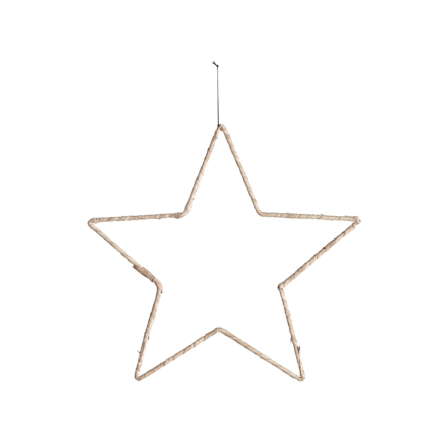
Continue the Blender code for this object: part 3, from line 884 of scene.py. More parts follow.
def laid_form(laid, seed):
    """Points, faces and looks of one laid strip."""
    route = smooth_path(route_on_rod(laid.corner, laid.route), LAID_STEP)
    way = unit(np.gradient(route[:, :2], axis=0))
    count = len(route)
    gone = np.arange(count) * LAID_STEP
    across = np.linspace(-1.0, 1.0, LAID_COLUMNS)
    random = np.random.default_rng(seed)
    first = random.uniform(0.0, laid.ragged * MM, LAID_COLUMNS)
    last = gone[-1] - random.uniform(0.0, laid.ragged * MM, LAID_COLUMNS)
    share = np.linspace(0.0, 1.0, count)[:, None]
    place = first + (last - first) * share
    middle = read_at(place, gone, route)
    side = read_at(place, gone, np.stack([-way[:, 1], way[:, 0]], axis=-1))
    ends = smooth_step(0.0, LAID_TAPER, place) * smooth_step(0.0, LAID_TAPER, gone[-1] - place)
    uneven = 1 + LAID_UNEVEN * soft_noise(place / (6 * MM), seed, 21)
    half = laid.width * MM / 2 * (0.65 + 0.35 * ends) * uneven
    along = middle[..., 0] + side[..., 0] * half * across
    angle = (middle[..., 1] + side[..., 1] * half * across) / ROD_RADIUS

    arch = laid.thickness * MM * np.sqrt(np.maximum(0.0, 1 - across**2 * 0.96))
    crease = bell(grain_at(LAID_FOLDS, place, across * half, seed) / 0.15) * (1 - across**4)
    lump = LAID_LUMP * soft_noise(place / (5 * MM), across * 6 + seed, 23)
    top = arch * (1 - 0.45 * crease) + lump
    base = base_radius(along, angle) + middle[..., 2] + LAID_LIFT
    lifted = smooth_step(*LAID_CLEAR, middle[..., 2])
    upper = put_round(along, angle, base + top)
    lower = put_round(along, angle, base - LAID_ROOT * (1 - 0.7 * lifted))
    points = np.concatenate([upper, lower[:, ::-1]], axis=1)
    quads, number = ring_faces(count, 2 * LAID_COLUMNS)
    faces = [quads[:, [0, 3, 2, 1]], np.stack([number[0], number[-1, ::-1]])]

    stain = 0.0
    for away, stained in ((place, laid.root), (gone[-1] - place, laid.tip)):
        if stained:
            stain = stain + smooth_step(-STAIN_EDGE, STAIN_EDGE, stained * MM - away)
    blotch = smooth_step(-0.1, 0.6, soft_noise(place / (2.6 * MM), across * 1.3 + seed, 25))
    stain = np.clip(stain + laid.blotches * (0.3 + 0.7 * blotch), 0.0, 1.0)
    tone = np.clip(laid.tone + 0.25 * soft_noise(place / (9 * MM), across * 2 + seed, 24), 0.0, 1.0)
    # Painted shade along its edges, as of the gaps beside it, partly its darker edges, and painted
    # shade in its folds
    edge = laid.edge * across**8 + 0.5 * crease
    looks = np.stack([np.clip(edge, 0.0, 1.0), tone, stain], axis=-1)
    strip = np.stack([place, across * half, np.full_like(place, seed * OWN_LAID)], axis=-1)
    looks = np.concatenate([looks, looks[:, ::-1]], axis=1).reshape(-1, 3)
    strip = np.concatenate([strip, strip[:, ::-1]], axis=1).reshape(-1, 3)
    return points.reshape(-1, 3), faces, strip, looks, np.full_like(strip, laid.hue)


# A loose fibre: its route as a laid strip's, its radius as a share of FIBRE_RADIUS, its tone
Fibre = namedtuple("Fibre", "corner route radius tone")


def fibre_form(fibre, seed):
    """Points, faces and looks of one loose fibre, which thins towards its tip."""
    route = smooth_path(route_on_rod(fibre.corner, fibre.route), FIBRE_STEP)
    along, angle = route[:, 0], route[:, 1] / ROD_RADIUS
    path = put_round(along, angle, base_radius(along, angle) + route[:, 2])
    taper = 1 - 0.7 * np.linspace(0.0, 1.0, len(path)) ** 2
    points, faces = tube(path, FIBRE_RADIUS * fibre.radius * taper, FIBRE_SIDES)
    strip = np.tile([0.0, 0.0, seed * OWN_LAID], (len(points), 1))
    strip[:, 0] = np.repeat(np.arange(len(path)) * FIBRE_STEP, FIBRE_SIDES)
    looks = np.tile([0.0, fibre.tone, 0.0], (len(points), 1))
    return points, faces, strip, looks, np.zeros_like(strip)


def loose_forms(strips, fibres, seed):
    forms = [laid_form(laid, seed + number) for number, laid in enumerate(strips)]
    return forms + [fibre_form(fibre, seed + 50 + number) for number, fibre in enumerate(fibres)]


BUNDLE_SIDE = "left_waist"
# Places along that side: how far past its start each strip has come up over the winding, where
# the strips cross each other, and where the upper tie holds them
BUNDLE_ROOT = 0.045
BUNDLE_CROSSING = 0.190
BUNDLE_TIED = 0.235
# The frayed bundle's strips: where each starts and its degrees round the rod there, where it
# ends, its degrees and its height there, its tone, how much of its end is stained, its blotches
BUNDLE = (
    (0.085, 40, 0.352, 22, 1.2, 0.20, 0.5, 0.20),
    (0.090, 16, 0.352, -2, 2.1, 0.15, 0.5, 0.25),
    (0.100, 64, 0.346, 46, 0.9, 0.34, 0.0, 0.08),
    (0.095, 88, 0.332, 70, 0.8, 0.12, 2.4, 0.30),
    (0.100, 108, 0.296, 86, 0.5, 0.22, 0.0, 0.08),
    (0.110, 132, 0.258, 118, 0.3, 0.20, 0.0, 0.15),
    (0.100, -4, 0.312, -16, 0.6, 0.15, 0.8, 0.25),
    (0.140, 28, 0.326, 26, 1.6, 0.14, 0.0, 0.25),
    (0.150, 76, 0.306, 54, 1.3, 0.32, 0.5, 0.08),
    # The three darkest strips lie in the gaps between the ones beside them: their dark is stain and
    # painted shade of those gaps
    (0.110, 52, 0.338, 32, 1.2, 0.08, 3.0, 0.60),
    (0.120, 98, 0.322, 78, 0.6, 0.08, 1.5, 0.60),
    (0.110, 8, 0.330, 4, 1.5, 0.08, 1.5, 0.70),
    (0.105, 165, 0.264, 152, 0.1, 0.25, 0.6, 0.30),
    (0.130, 146, 0.248, 138, 0.3, 0.35, 0.8, 0.10),
)
# The turns that tie it down: a share of the side, the degrees where they cross it, and how much
# further they stand off below. Its dark spots: a share of the side, degrees and a height.
BUNDLE_TIES = ((0.1165, 95, 0.1), (0.240, 106, 1.1))
BUNDLE_SPOTS = (
    (0.272, 14, 1.9), (0.246, 20, 1.8), (0.226, 14, 1.7), (0.190, 16, 1.1), (0.158, 18, 0.6),
)
# How much further its lower strips stand off, in millimetres, at three places of their routes
BUNDLE_BULGE = (0.4, 1.1, 0.8)
BUNDLE_LOWER = (60.0, 15.0)  # degrees round the rod from which on, and by which, a strip is a lower one
BUNDLE_WEAVE = 9  # degrees by which a strip keeps to one side of its line, the next to the other
BUNDLE_FIBRES = (
    (((0.27, 20, 0.8), (0.31, 4, 1.8), (0.36, -4, 2.6)), 1.6, 0.4),
    (((0.28, 50, 1.0), (0.32, 20, 2.0), (0.375, 8, 1.9)), 1.4, 0.5),
    (((0.26, 10, 0.8), (0.29, 0, 1.9), (0.315, -2, 3.0)), 1.4, 0.45),
    (((0.24, 0, 0.6), (0.26, -6, 1.2), (0.285, -10, 1.6)), 1.4, 0.4),
)


def tie_height(degrees, bulge):
    """How far a tie lies over the winding, in millimetres: on the bundle, then down into the rod."""
    if 0 <= degrees < 130:
        return 0.75 + bulge * smooth_step(*BUNDLE_LOWER, degrees)
    return 0.2 if -30 <= degrees <= 160 else -0.6


def bundle_forms():
    """The bundle of strips over the left waist, tied down twice and frayed at its end."""
    strips = []
    for number, (start, degrees, end, turn, height, tone, stained, blotches) in enumerate(BUNDLE):
        before, under, past = (bulge * smooth_step(*BUNDLE_LOWER, degrees) for bulge in BUNDLE_BULGE)
        weave = BUNDLE_WEAVE * (-1) ** number
        route = (
            (start, degrees + 10),
            (start + BUNDLE_ROOT, degrees, 0.30),
            (BUNDLE_CROSSING, degrees * 0.95 + turn * 0.05 + weave, 0.5 + 0.25 * (number % 3) + before),
            (BUNDLE_TIED, degrees * 0.8 + turn * 0.2, 0.50 + under),
            ((BUNDLE_TIED + end) / 2, degrees * 0.4 + turn * 0.6, 0.25 + height / 2 + past),
            (end, turn, height),
        )
        width, hue = 0.9 + 0.35 * (number % 3), -0.2 - 0.25 * stained
        # The strips' edges, like the ties' below, take painted shade in full, as of the gaps between
        # them
        strips.append(Laid(BUNDLE_SIDE, route, width, 0.50, 2.2, tone, 0, stained, hue, 1.0, blotches))
    for share, front, bulge in BUNDLE_TIES:
        for aside, width, tone, blotches in ((0.0, 1.3, 0.66, 0.0), (-0.013, 1.0, 0.25, 0.95)):
            route = [(share + aside + 0.00013 * (degrees - front), degrees, tie_height(degrees, bulge))
                     for degrees in range(-60, 240, 30)]
            strips.append(Laid(BUNDLE_SIDE, route, width, 0.40, 0.3, tone, 0, 0, -0.9, 1.0, blotches))
    for share, degrees, height in BUNDLE_SPOTS:
        route = ((share - 0.012, degrees - 8, height), (share + 0.012, degrees + 8, height))
        strips.append(Laid(BUNDLE_SIDE, route, 1.5, 0.35, 0.2, 0.2, root=4.0, tip=4.0))
    fibres = [Fibre(BUNDLE_SIDE, *fibre) for fibre in BUNDLE_FIBRES]
    return loose_forms(strips, fibres, 100)


# The folded strip that fills the crook of the top point. Each of its folds runs from a place to
# another, in millimetres rightwards and upwards of where the legs' centre lines cross, and lies
# some millimetres in front of them, with a thickness and a stain from 0 to 1
CROOK_FOLDS = (
    ((-0.6, -4.2), (-0.9, -10.2), 1.3, 1.6, 0.55),
    ((0.5, -4.2), (0.3, -10.6), 1.6, 1.6, 0.35),
    ((1.4, -5.0), (1.6, -10.4), 1.0, 1.8, 0.15),
    ((1.9, -7.0), (2.5, -10.0), 0.4, 1.5, 0.25),
    ((0.1, -4.4), (-0.2, -10.2), -1.0, 1.8, 0.25),
    ((1.0, -4.6), (1.5, -10.3), -1.2, 1.9, 0.25),
)
CROOK_SIDES = 12
CROOK_STEP = 0.3 * MM
CROOK_TEXTURE = 61.3  # sets its texture apart from the laid strips'
CROOK_SIDE = 0.4 * MM  # of its folds' texture, for each of CROOK_SIDES
# Painted shade over all the folds, which lie deep in the crook
CROOK_SHADE = 0.2
CROOK_TONE = 0.30
CROOK_HUE = -0.3


def crook_form(fold, number):
    """Points, faces and looks of one fold in the top point's crook."""
    start, end, front, thickness, stain = fold
    ends = [np.array([x * MM, 0.0, z * MM]) for x, z in (start, end)]
    bow = np.array([0.4 * MM * (-1) ** number, -front * MM, 0.0])
    middle = (ends[0] + ends[1]) / 2 + bow
    path = smooth_path([ends[0], middle, ends[1] + bow * 0.8], CROOK_STEP) + np.array(STAR_TOP)
    share = np.linspace(0.0, 1.0, len(path))
    radii = thickness * MM / 2 * (0.7 + 0.3 * np.sin(math.pi * share))
    radii = radii * np.minimum(1.0, (1.03 - share) * 6)
    points, faces = tube(path, radii, CROOK_SIDES)
    along = np.repeat(share * len(path) * CROOK_STEP, CROOK_SIDES)
    round_it = np.tile(np.arange(CROOK_SIDES) * CROOK_SIDE, len(path))
    strip = np.stack([along, round_it, np.full_like(along, CROOK_TEXTURE + number * OWN_LAID)], axis=-1)
    dark = stain + 0.35 * smooth_step(0.6, 0.95, np.repeat(share, CROOK_SIDES))
    looks = np.stack([CROOK_SHADE + 0 * dark, CROOK_TONE + 0 * dark, dark], axis=-1)
    return points, faces, strip, looks, np.full_like(strip, CROOK_HUE)


TOP_STRIPS = (
    # the paler strip on the left leg, and the ridge over the bend
    Laid("left_shoulder", ((0.965, 125, 0.1), (0.94, 118, 0.2), (0.9, 114, 0.2), (0.86, 118, 0.1),
         (0.825, 135)), 2.4, 0.22, 0.6, 0.66, tip=0.5, hue=-0.7, edge=0.1),
    Laid("top", ((-0.015, 118, 0.1), (0, 84, 0.1), (0.022, 58, 0.1), (0.06, 48), (0.105, 40)), 1.7,
         0.22, 0.4, 0.6, hue=0.1),
    Laid("top", ((0.03, 100), (0.055, 118), (0.085, 138), (0.11, 160)), 2.0, 0.25, 0.4, 0.42,
         hue=-0.2),
)
STUB_AND_LOOP = (
    # the strip that runs up the outer edge and ends in a dark stub
    Laid("right_waist", ((0.9, 120), (0.85, 92), (0.78, 64, 0.1), (0.725, 50, 0.2), (0.685, 36, 0.7),
         (0.655, 24, 1.3), (0.622, 15, 1.8)), 2.2, 0.4, 0.8, 0.72, tip=0.4, hue=0.2),
    Laid("right_waist", ((0.7, 48, 1.0), (0.66, 44, 1.9), (0.626, 40, 2.3)), 1.6, 0.3, 0.15, 0.25,
         tip=4.0, hue=-0.5),
    # the folded loop that stands off the inner edge
    Laid("right_waist", ((0.606, 20), (0.588, 80, 0.1), (0.57, 135, 0.3), (0.556, 172, 1.1),
         (0.54, 200, 1.0), (0.528, 240, 0.1)), 2.0, 0.4, 0.3, 0.9, hue=0.1),
    Laid("right_waist", ((0.5, 60), (0.485, 105, 0.1), (0.47, 150, 0.2), (0.455, 195)), 1.8, 0.3, 0.4,
         0.6),
    # a small greenish end on the outer edge
    Laid("right_waist", ((0.32, 100), (0.306, 60, 0.1), (0.296, 25, 0.2)), 1.6, 0.28, 0.4, 0.4,
         tip=0.6, hue=0.9),
)
RIGHT_POINT_STRIPS = (
    # the strips that cross the ball at the point, with a dark spot
    Laid("right_point", ((-0.075, 30), (-0.045, 58), (-0.015, 84, 0.1), (0.012, 104, 0.1), (0.04, 135),
         (0.06, 175)), 2.6, 0.4, 0.4, 0.6, hue=0.3),
    Laid("right_point", ((-0.03, 200), (-0.01, 140), (0.01, 85), (0.026, 40, 0.1), (0.04, 0, 0.1),
         (0.05, -50)), 1.8, 0.35, 0.4, 0.5, hue=0.2),
    Laid("right_point", ((0.016, 56, 0.3), (0.022, 38, 0.4), (0.028, 20, 0.3)), 1.3, 0.3, 0.2, 0.2,
         root=3.0, tip=1.0),
    Laid("right_point", ((0.092, -30), (0.106, 10, 0.1), (0.118, 50, 0.1), (0.13, 100)), 2.2, 0.25,
         0.5, 0.56, tip=0.3),
    # what fills the point's crook
    Laid("right_point", ((-0.06, 110), (-0.048, 145, 0.2), (-0.042, 180, 0.6), (-0.036, 220, 0.2)),
         2.0, 0.4, 0.4, 0.36, tip=1.2, hue=-0.2),
    Laid("right_point", ((0.052, 70, 0.1), (0.062, 110, 0.1), (0.072, 150, 0.2)), 1.5, 0.28, 0.4, 0.3,
         root=1.0, hue=-0.2, edge=0.9),
    # ends that stand off the right point's upper edge
    Laid("right_shoulder", ((0.56, 95), (0.585, 55, 0.1), (0.604, 22, 0.4), (0.62, 4, 0.5)), 1.8, 0.3,
         0.8, 0.5, tip=0.5, hue=0.3),
    Laid("right_shoulder", ((0.787, 100), (0.817, 60), (0.84, 25, 0.1), (0.857, -5, 0.2)), 1.8, 0.3,
         0.8, 0.58, hue=0.3),
    Laid("right_shoulder", ((0.225, 95), (0.25, 50, 0.1), (0.27, 12, 0.3), (0.282, -10, 0.2)), 1.6,
         0.3, 0.5, 0.46, tip=1.0, hue=0.4),
    # short dark dashes on the upper side, before the ball
    Laid("right_point", ((-0.118, 60), (-0.108, 48)), 1.1, 0.2, 0.3, 0.25, root=2.0, tip=2.0),
    Laid("right_point", ((-0.09, 62), (-0.08, 50)), 1.0, 0.2, 0.3, 0.25, root=2.0, tip=2.0),
)
WAIST_STRIPS = (
    # the thick overlap round the left waist, which ends dark on the side below
    Laid("left_waist", ((0.15, 95), (0.095, 118, 0.1), (0.045, 140, 0.2), (0, 156, 0.2),
         (-0.035, 166, 0.2), (-0.076, 176, 0.3)), 2.8, 0.45, 0.5, 0.48, tip=2.4, hue=-0.4),
    Laid("left_waist", ((0.05, 60), (0.02, 90), (-0.01, 118), (-0.045, 150)), 2.4, 0.25, 0.6, 0.6,
         hue=-0.5),
    Laid("left_waist", ((0.09, 40), (0.06, 75), (0.03, 108), (0.005, 140)), 2.0, 0.25, 0.6, 0.4,
         hue=-0.6),
    # the greenish strip past the bundle
    Laid("left_waist", ((0.33, 130), (0.362, 92, 0.1), (0.385, 55, 0.2), (0.4, 20, 0.2)), 2.4, 0.3,
         0.6, 0.66, hue=0.9),
    # the reddish seam at the right waist and the dark edge of its knob
    Laid("right_waist", ((0.004, 150), (0.012, 110, 0.1), (0.02, 75, 0.1), (0.028, 40)), 1.0, 0.25,
         0.3, 0.35, root=1.5, tip=3.0, hue=-0.8, edge=0.9),
    Laid("right_waist", ((-0.05, 140), (-0.022, 158, 0.2), (0.002, 172, 0.2), (0.026, 190, 0.1)), 1.6,
         0.25, 0.4, 0.45, root=0.3, tip=0.5, hue=-0.3),
    # the bright strip across the crotch
    Laid("crotch", ((0.014, 178), (0.02, 140, 0.1), (0.027, 95, 0.1), (0.035, 50, 0.1), (0.041, 10)),
         1.6, 0.35, 0.5, 1.0, hue=-0.4, edge=0.8),
    Laid("crotch", ((0.034, 178), (0.04, 140), (0.047, 95), (0.055, 50)), 1.0, 0.25, 0.5, 0.3,
         hue=-0.5, edge=0.8, blotches=0.4),
)
STRIP_ENDS = (
    # brown ends under the left point's upper side
    Laid("left_point", ((0.7, 110), (0.728, 140, 0.3), (0.748, 168, 0.6)), 1.8, 0.4, 0.7, 0.35,
         tip=2.0, hue=-0.3),
    Laid("left_point", ((0.905, 70), (0.911, 105, 0.1), (0.918, 145, 0.2), (0.92, 185, 0.1)), 2.0,
         0.35, 0.4, 0.34, tip=1.6, hue=-0.6, edge=0.9, blotches=0.5),
    Laid("left_point", ((0.937, 60), (0.942, 95, 0.1), (0.948, 140, 0.2), (0.95, 190, 0.1)), 2.4, 0.35,
         0.4, 0.42, tip=1.0, hue=-0.6, edge=0.9, blotches=0.35),
    Laid("left_point", ((0.525, 80), (0.55, 104, 0.1), (0.568, 132, 0.1)), 1.3, 0.3, 0.4, 0.4,
         root=1.5, tip=1.5, hue=-0.3),
    # bands across the left point's two legs
    Laid("left_point", ((0.072, 0), (0.082, 60, 0.1), (0.092, 110, 0.1), (0.098, 160, 0.3),
         (0.1, 195, 0.3)), 2.0, 0.4, 0.4, 0.46, tip=0.8, hue=-0.1, edge=0.95),
    Laid("left_point", ((0.046, 70), (0.054, 110, 0.1), (0.06, 150, 0.2), (0.062, 190, 0.2)), 1.4,
         0.35, 0.3, 0.4, tip=1.5, hue=-0.1, edge=0.95),
    Laid("left_point", ((0.135, 40), (0.146, 90, 0.1), (0.156, 140, 0.1)), 1.3, 0.3, 0.3, 0.36,
         root=0.4, tip=0.6, edge=0.95),
    # ends on the other sides
    Laid("left_shoulder", ((0.11, 75), (0.096, 50, 0.1), (0.083, 22, 0.2)), 1.4, 0.3, 0.4, 0.4,
         root=0.4, tip=1.6),
    Laid("left_shoulder", ((0.16, 120), (0.172, 150, 0.2), (0.183, 178, 0.3)), 1.3, 0.3, 0.3, 0.4,
         root=0.3, tip=2.0, hue=-0.3),
    Laid("left_shoulder", ((0.79, 95), (0.815, 135, 0.1), (0.838, 172, 0.4)), 2.0, 0.35, 0.6, 0.6,
         tip=0.8, hue=-0.5),
    Laid("left_foot", ((0.28, 125), (0.292, 90, 0.1), (0.302, 55, 0.1), (0.31, 20, 0.1)), 2.6, 0.25,
         0.4, 0.36, tip=1.2, hue=-0.8, edge=0.8, blotches=0.55),
    Laid("left_foot", ((0.43, 96), (0.37, 96), (0.31, 96, 0.05), (0.26, 90, 0.05), (0.205, 80)), 1.4,
         0.25, 1.6, 0.42, hue=-1.0, edge=0.5, blotches=0.8),
    Laid("left_foot", ((0.35, 48), (0.31, 44, 0.1), (0.265, 44, 0.1), (0.225, 50)), 1.6, 0.25, 0.6,
         1.0, hue=0.2),
    Laid("left_foot", ((0.52, 70), (0.505, 40, 0.1), (0.494, 12, 0.2)), 1.6, 0.3, 0.4, 0.45, tip=2.2),
    Laid("left_foot", ((0.15, 110), (0.168, 145, 0.2), (0.188, 176, 0.6)), 1.6, 0.35, 0.7, 0.5,
         tip=0.8),
    Laid("left_foot", ((0.486, 150, 0.1), (0.468, 168, 0.3), (0.446, 178, 0.4)), 1.3, 0.3, 0.3, 0.4,
         tip=1.6, hue=0.1),
    # the dark line in the crook of the right foot, stained, and dark as painted shade where the legs
    # meet
    Laid("right_foot", ((-0.098, 172), (-0.07, 162, 0.1), (-0.044, 152, 0.3), (-0.02, 136, 0.4),
         (0, 118, 0.2)), 1.3, 0.25, 0.3, 0.3, root=2.5, tip=4.0, hue=-0.4, edge=0.9, blotches=0.8),
    Laid("right_foot", ((0.078, 130), (0.064, 156, 0.1), (0.052, 178, 0.2)), 1.2, 0.25, 0.3, 0.3,
         tip=3.0, hue=-0.4, edge=0.9, blotches=0.8),
    # dark spots along the lower edge of the right point's lower side: painted shadows of the seams
    # where they meet that edge
    Laid("right_point", ((0.205, 120), (0.221, 160, 0.1)), 1.6, 0.25, 0.3, 0.25, root=3.0, tip=3.0),
    Laid("right_point", ((0.296, 115), (0.313, 160, 0.1)), 1.6, 0.25, 0.3, 0.25, root=3.0, tip=3.0),
    Laid("right_point", ((0.436, 100), (0.455, 160, 0.2)), 1.9, 0.3, 0.3, 0.25, root=3.0, tip=3.0),
    Laid("right_point", ((0.552, 120), (0.568, 158, 0.1)), 1.4, 0.25, 0.3, 0.25, root=3.0, tip=3.0),
)
STRAY_FIBRES = (
    Fibre("left_foot", ((0.298, 30, 0.1), (0.302, 8, 1.4), (0.311, 4, 3.8), (0.319, 2, 5.9)), 10.5,
         0.05),
    Fibre("left_foot", ((0.302, 36, 0.1), (0.298, 12, 1.2), (0.301, 4, 3.0)), 3.0, 0.2),
    Fibre("right_waist", ((0.215, 160, 0.1), (0.228, 178, 1.1), (0.243, 184, 1.6), (0.256, 180, 1.0),
         (0.262, 165, 0.2)), 2.8, 0.4),
    Fibre("right_waist", ((0.25, 60, 0.2), (0.262, 25, 0.7), (0.275, 0, 1.5)), 1.4, 0.6),
    Fibre("right_waist", ((0.262, 70, 0.2), (0.276, 28, 0.5), (0.296, 5, 1.0)), 1.4, 0.6),
    Fibre("right_waist", ((0.64, 20, 0.6), (0.622, 6, 1.6), (0.606, 0, 1.8)), 1.6, 0.3),
    Fibre("right_waist", ((0.87, 50, 0.2), (0.886, 15, 0.9), (0.905, 0, 1.5)), 1.4, 0.7),
    Fibre("right_waist", ((0.885, 60, 0.2), (0.905, 22, 0.8), (0.925, 6, 1.2)), 1.4, 0.7),
    Fibre("right_waist", ((0.905, 55, 0.2), (0.92, 18, 0.9), (0.942, 0, 1.1)), 1.4, 0.7),
    Fibre("right_shoulder", ((0.18, 60, 0.2), (0.19, 10, 0.8), (0.205, -4, 1.4)), 1.2, 0.5),
    Fibre("right_shoulder", ((0.61, 30, 0.4), (0.626, 6, 1.2), (0.64, 0, 1.7)), 1.2, 0.5),
    Fibre("crotch", ((0.42, 40, 0.2), (0.432, 8, 0.8), (0.44, -2, 1.3)), 1.1, 0.4),
    Fibre("left_point", ((0.3, 150, 0.2), (0.312, 176, 0.9), (0.33, 184, 1.2)), 1.1, 0.4),
    Fibre("right_foot", ((0.35, 150, 0.2), (0.362, 178, 0.7), (0.375, 182, 1.1)), 1.1, 0.5),
)


def lay_loose_strips(material):
    """All that lies loose on the winding or has come away from it, in one piece for each group."""
    groups = {
        "frayed_bundle": bundle_forms(),
        "crook": [crook_form(fold, number) for number, fold in enumerate(CROOK_FOLDS)],
        "stub_and_loop": loose_forms(STUB_AND_LOOP, (), 200),
        "point_strips": loose_forms(RIGHT_POINT_STRIPS, (), 300),
        "waist_strips": loose_forms(WAIST_STRIPS, (), 400),
        "strip_ends": loose_forms(STRIP_ENDS, (), 500),
        "top_strips": loose_forms(TOP_STRIPS, (), 600),
        "stray_fibres": loose_forms((), STRAY_FIBRES, 700),
    }
    for name, forms in groups.items():
        points, faces = join_forms([form[:2] for form in forms])
        looks = [np.concatenate([form[k] for form in forms]) for k in (2, 3, 4)]
        add_bast(name, points, faces, looks, material)


# The thread

PLIES = 3
PLY_PITCH = 1.6 * MM
PLY_SIDES = 6
PLY_STEP = 0.10 * MM
PLY_RADIUS = 0.28  # as a share of the thread's width
PLY_OFFSET = 0.22  # the same, from the thread's middle
KNOT_STEPS = 14  # points for each turn wound round a knot
KNOT_CORE = 0.8  # as a share of the knot's size
BALL_RINGS = 9  # between the ends of a knot's core
BALL_SIDES = 16
# How far the loose fibres of a strand stand off on its way down, as shares of THREAD_WIDTH
STRAND_SWELL = ((0.0, 0.97), (0.25, 0.95), (0.42, 0.86), (0.62, 1.08), (1.0, 1.28))


def plied_thread(route, diameter=THREAD_WIDTH, swell=((0.0, 1.0),)):
    """The plies of a thread, twisted round its route."""
    path = smooth_path(route, PLY_STEP)
    gone = lengths_to(path)
    width = diameter * np.interp(gone / gone[-1], *zip(*swell))
    plies = []
    for number in range(PLIES):
        turn = 2 * math.pi * (gone / PLY_PITCH + number / PLIES)
        plies.append(tube(path, width * PLY_RADIUS, PLY_SIDES, turn, width[:, None] * PLY_OFFSET))
    return plies


def ellipsoid(centre, size):
    """Points and faces of a closed ellipsoid."""
    tilt = np.linspace(-math.pi / 2, math.pi / 2, BALL_RINGS + 2)[1:-1, None]
    angle = np.arange(BALL_SIDES)[None, :] * 2 * math.pi / BALL_SIDES
    parts = [np.cos(tilt) * np.cos(angle), np.cos(tilt) * np.sin(angle), np.sin(tilt) + 0 * angle]
    points = np.stack(parts, axis=-1).reshape(-1, 3)
    points = np.concatenate([points, [[0, 0, -1], [0, 0, 1]]])
    points = np.array(centre) + points * np.array(size) / 2
    quads, number = ring_faces(BALL_RINGS, BALL_SIDES)
    south = np.full(BALL_SIDES, number.size)
    low = np.stack([np.roll(number[0], -1), number[0], south], axis=-1)
    high = np.stack([number[-1], np.roll(number[-1], -1), south + 1], axis=-1)
    return points, [quads, low, high]


def wound_knot(centre, size, winds, lean):
    """The route of a thread wound up into a small tight knot."""
    share = np.linspace(0.0, 1.0, winds * KNOT_STEPS)
    angle = 2 * math.pi * winds * share
    tilt = lean * np.sin(2 * math.pi * share * 1.5)
    spin = math.pi * share * 1.3
    x, y, z = np.cos(angle), np.sin(angle) * np.cos(tilt), np.sin(angle) * np.sin(tilt)
    turned = [x * np.cos(spin) - y * np.sin(spin), z, x * np.sin(spin) + y * np.cos(spin)]
    return np.array(centre) + np.stack(turned, axis=-1) * np.array(size) / 2


def make_strand(node, behind, column, material):
    """One strand and its fine points. Its places to the right are in a column of STRANDS."""
    route = [(row[column], behind * row[1], row[0]) for row in STRANDS]
    plies = plied_thread(route, swell=STRAND_SWELL)
    return add_thread(node, node, plies, material), smooth_path(route, PLY_STEP)


def knot_forms(centre, size, wound, winds, lean):
    """A knot's core and the turns wound over it, whose middle line is at a share of its size."""
    winding = plied_thread(wound_knot(centre, [wound * width for width in size], winds, lean))
    return [ellipsoid(centre, [KNOT_CORE * width for width in size]), *winding]


HITCH_KNOT = Vector((0.001165, 0.0, -0.0650))
HITCH_SIZE = (2.8 * MM, 2.2 * MM, 3.0 * MM)
HANG_KNOT_SIZE = (2.4 * MM, 2.4 * MM, 3.2 * MM)

# The hang knot's two tails, from their roots on, in millimetres
KNOT_TAILS = (
    ((-0.4, -0.3, 0.5), (-1.6, -0.4, 1.6), (-2.9, -0.5, 3.0), (-4.2, -0.4, 4.6)),
    ((-0.4, 0.3, 0.3), (-1.9, 0.3, 1.2), (-3.5, 0.3, 2.5), (-5.1, 0.2, 3.9)),
)
TAIL_WIDTH = 1.10 * MM
# Where the fibres of each tail end, and the wisp that has come loose from them
TAIL_SPLAY = (
    ((-3.3, -0.5, 4.9), (-3.7, -0.9, 5.4), (-4.3, -0.3, 5.6), (-4.8, -0.5, 5.5), (-5.2, 0.0, 5.0)),
    ((-5.6, 0.5, 4.7), (-6.0, 0.1, 4.2), (-6.1, 0.4, 3.6), (-5.7, -0.2, 3.0), (-5.1, 0.3, 2.8)),
)
WISP = ((-3.8, -0.4, 4.4), (-3.9, -0.5, 5.4), (-3.3, -0.4, 6.3), (-2.8, -0.3, 7.1))
SPLAY_RADIUS = 4.5  # as a share of FIBRE_RADIUS
WISP_RADIUS = 0.8
# The thread's turns just under the knot, where it tightens on the strands
NECK_WIDTH = THREAD_WIDTH * 0.7
NECK_TURNS = 5
NECK_STEPS = 12
NECK_TOP = -1.2 * MM
NECK_BOTTOM = -4.3 * MM


def loose_fibre(points, radius):
    """A thin fibre of thread through points in millimetres, tapered to its tip."""
    path = smooth_path(np.array(points) * MM, FIBRE_STEP)
    taper = 1 - 0.75 * np.linspace(0.0, 1.0, len(path)) ** 2
    return tube(path, FIBRE_RADIUS * radius * taper, FIBRE_SIDES)


def make_hang_knot(material):
    """The knot that the star hangs from, with two cut tails that splay at their ends."""
    forms = knot_forms((0, 0, 0), HANG_KNOT_SIZE, wound=0.82, winds=5, lean=1.1)
    for tail in KNOT_TAILS:
        forms.extend(plied_thread(np.array(tail) * MM, TAIL_WIDTH))
    for tail, tips in zip(KNOT_TAILS, TAIL_SPLAY):
        for tip in tips:
            middle = np.array(tail[2]) * 0.45 + np.array(tip) * 0.55
            forms.append(loose_fibre((tail[2], middle, tip), SPLAY_RADIUS))
    forms.append(loose_fibre(WISP, WISP_RADIUS))
    share = np.linspace(0.0, 1.0, NECK_TURNS * NECK_STEPS)
    turn = 2 * math.pi * NECK_TURNS * share
    out = (0.50 - 0.12 * share) * MM
    neck = [out * np.cos(turn), out * np.sin(turn) * 1.3, NECK_TOP + (NECK_BOTTOM - NECK_TOP) * share]
    forms.extend(plied_thread(np.stack(neck, axis=-1), NECK_WIDTH))
    return add_thread("hang_knot", "hang_knot", forms, material)


# The hitch's loop round the left leg, through the crook of the top point: the way down from the
# corner in millimetres, degrees round the rod from its outer edge over its front, and how far
# the thread's middle is off the bast, in millimetres
LOOP = (
    (5.6, 70, 0.6), (6.3, 40, 0.4), (7.0, 10, 0.3), (7.6, -25, 0.3), (8.0, -60, 0.3), (8.2, -95, 0.3),
    (8.3, -130, 0.3), (8.3, -160, 0.3), (8.3, -185, 0.3), (8.0, -208, 0.3), (7.3, -228, 0.3),
    (6.5, -245, 0.4), (5.7, -262, 0.7),
)


def loop_route():
    """The loop's points, from the knot round the leg and back to the knot."""
    route = []
    for down, degrees, clear in LOOP:
        along = np.array(rod.nearest(down_left_leg(down * MM)))
        angle = math.radians(degrees)
        route.append(put_round(along, np.array(angle), base_radius(along, angle) + clear * MM))
    return [np.array(HITCH_KNOT), *route, np.array(HITCH_KNOT)]


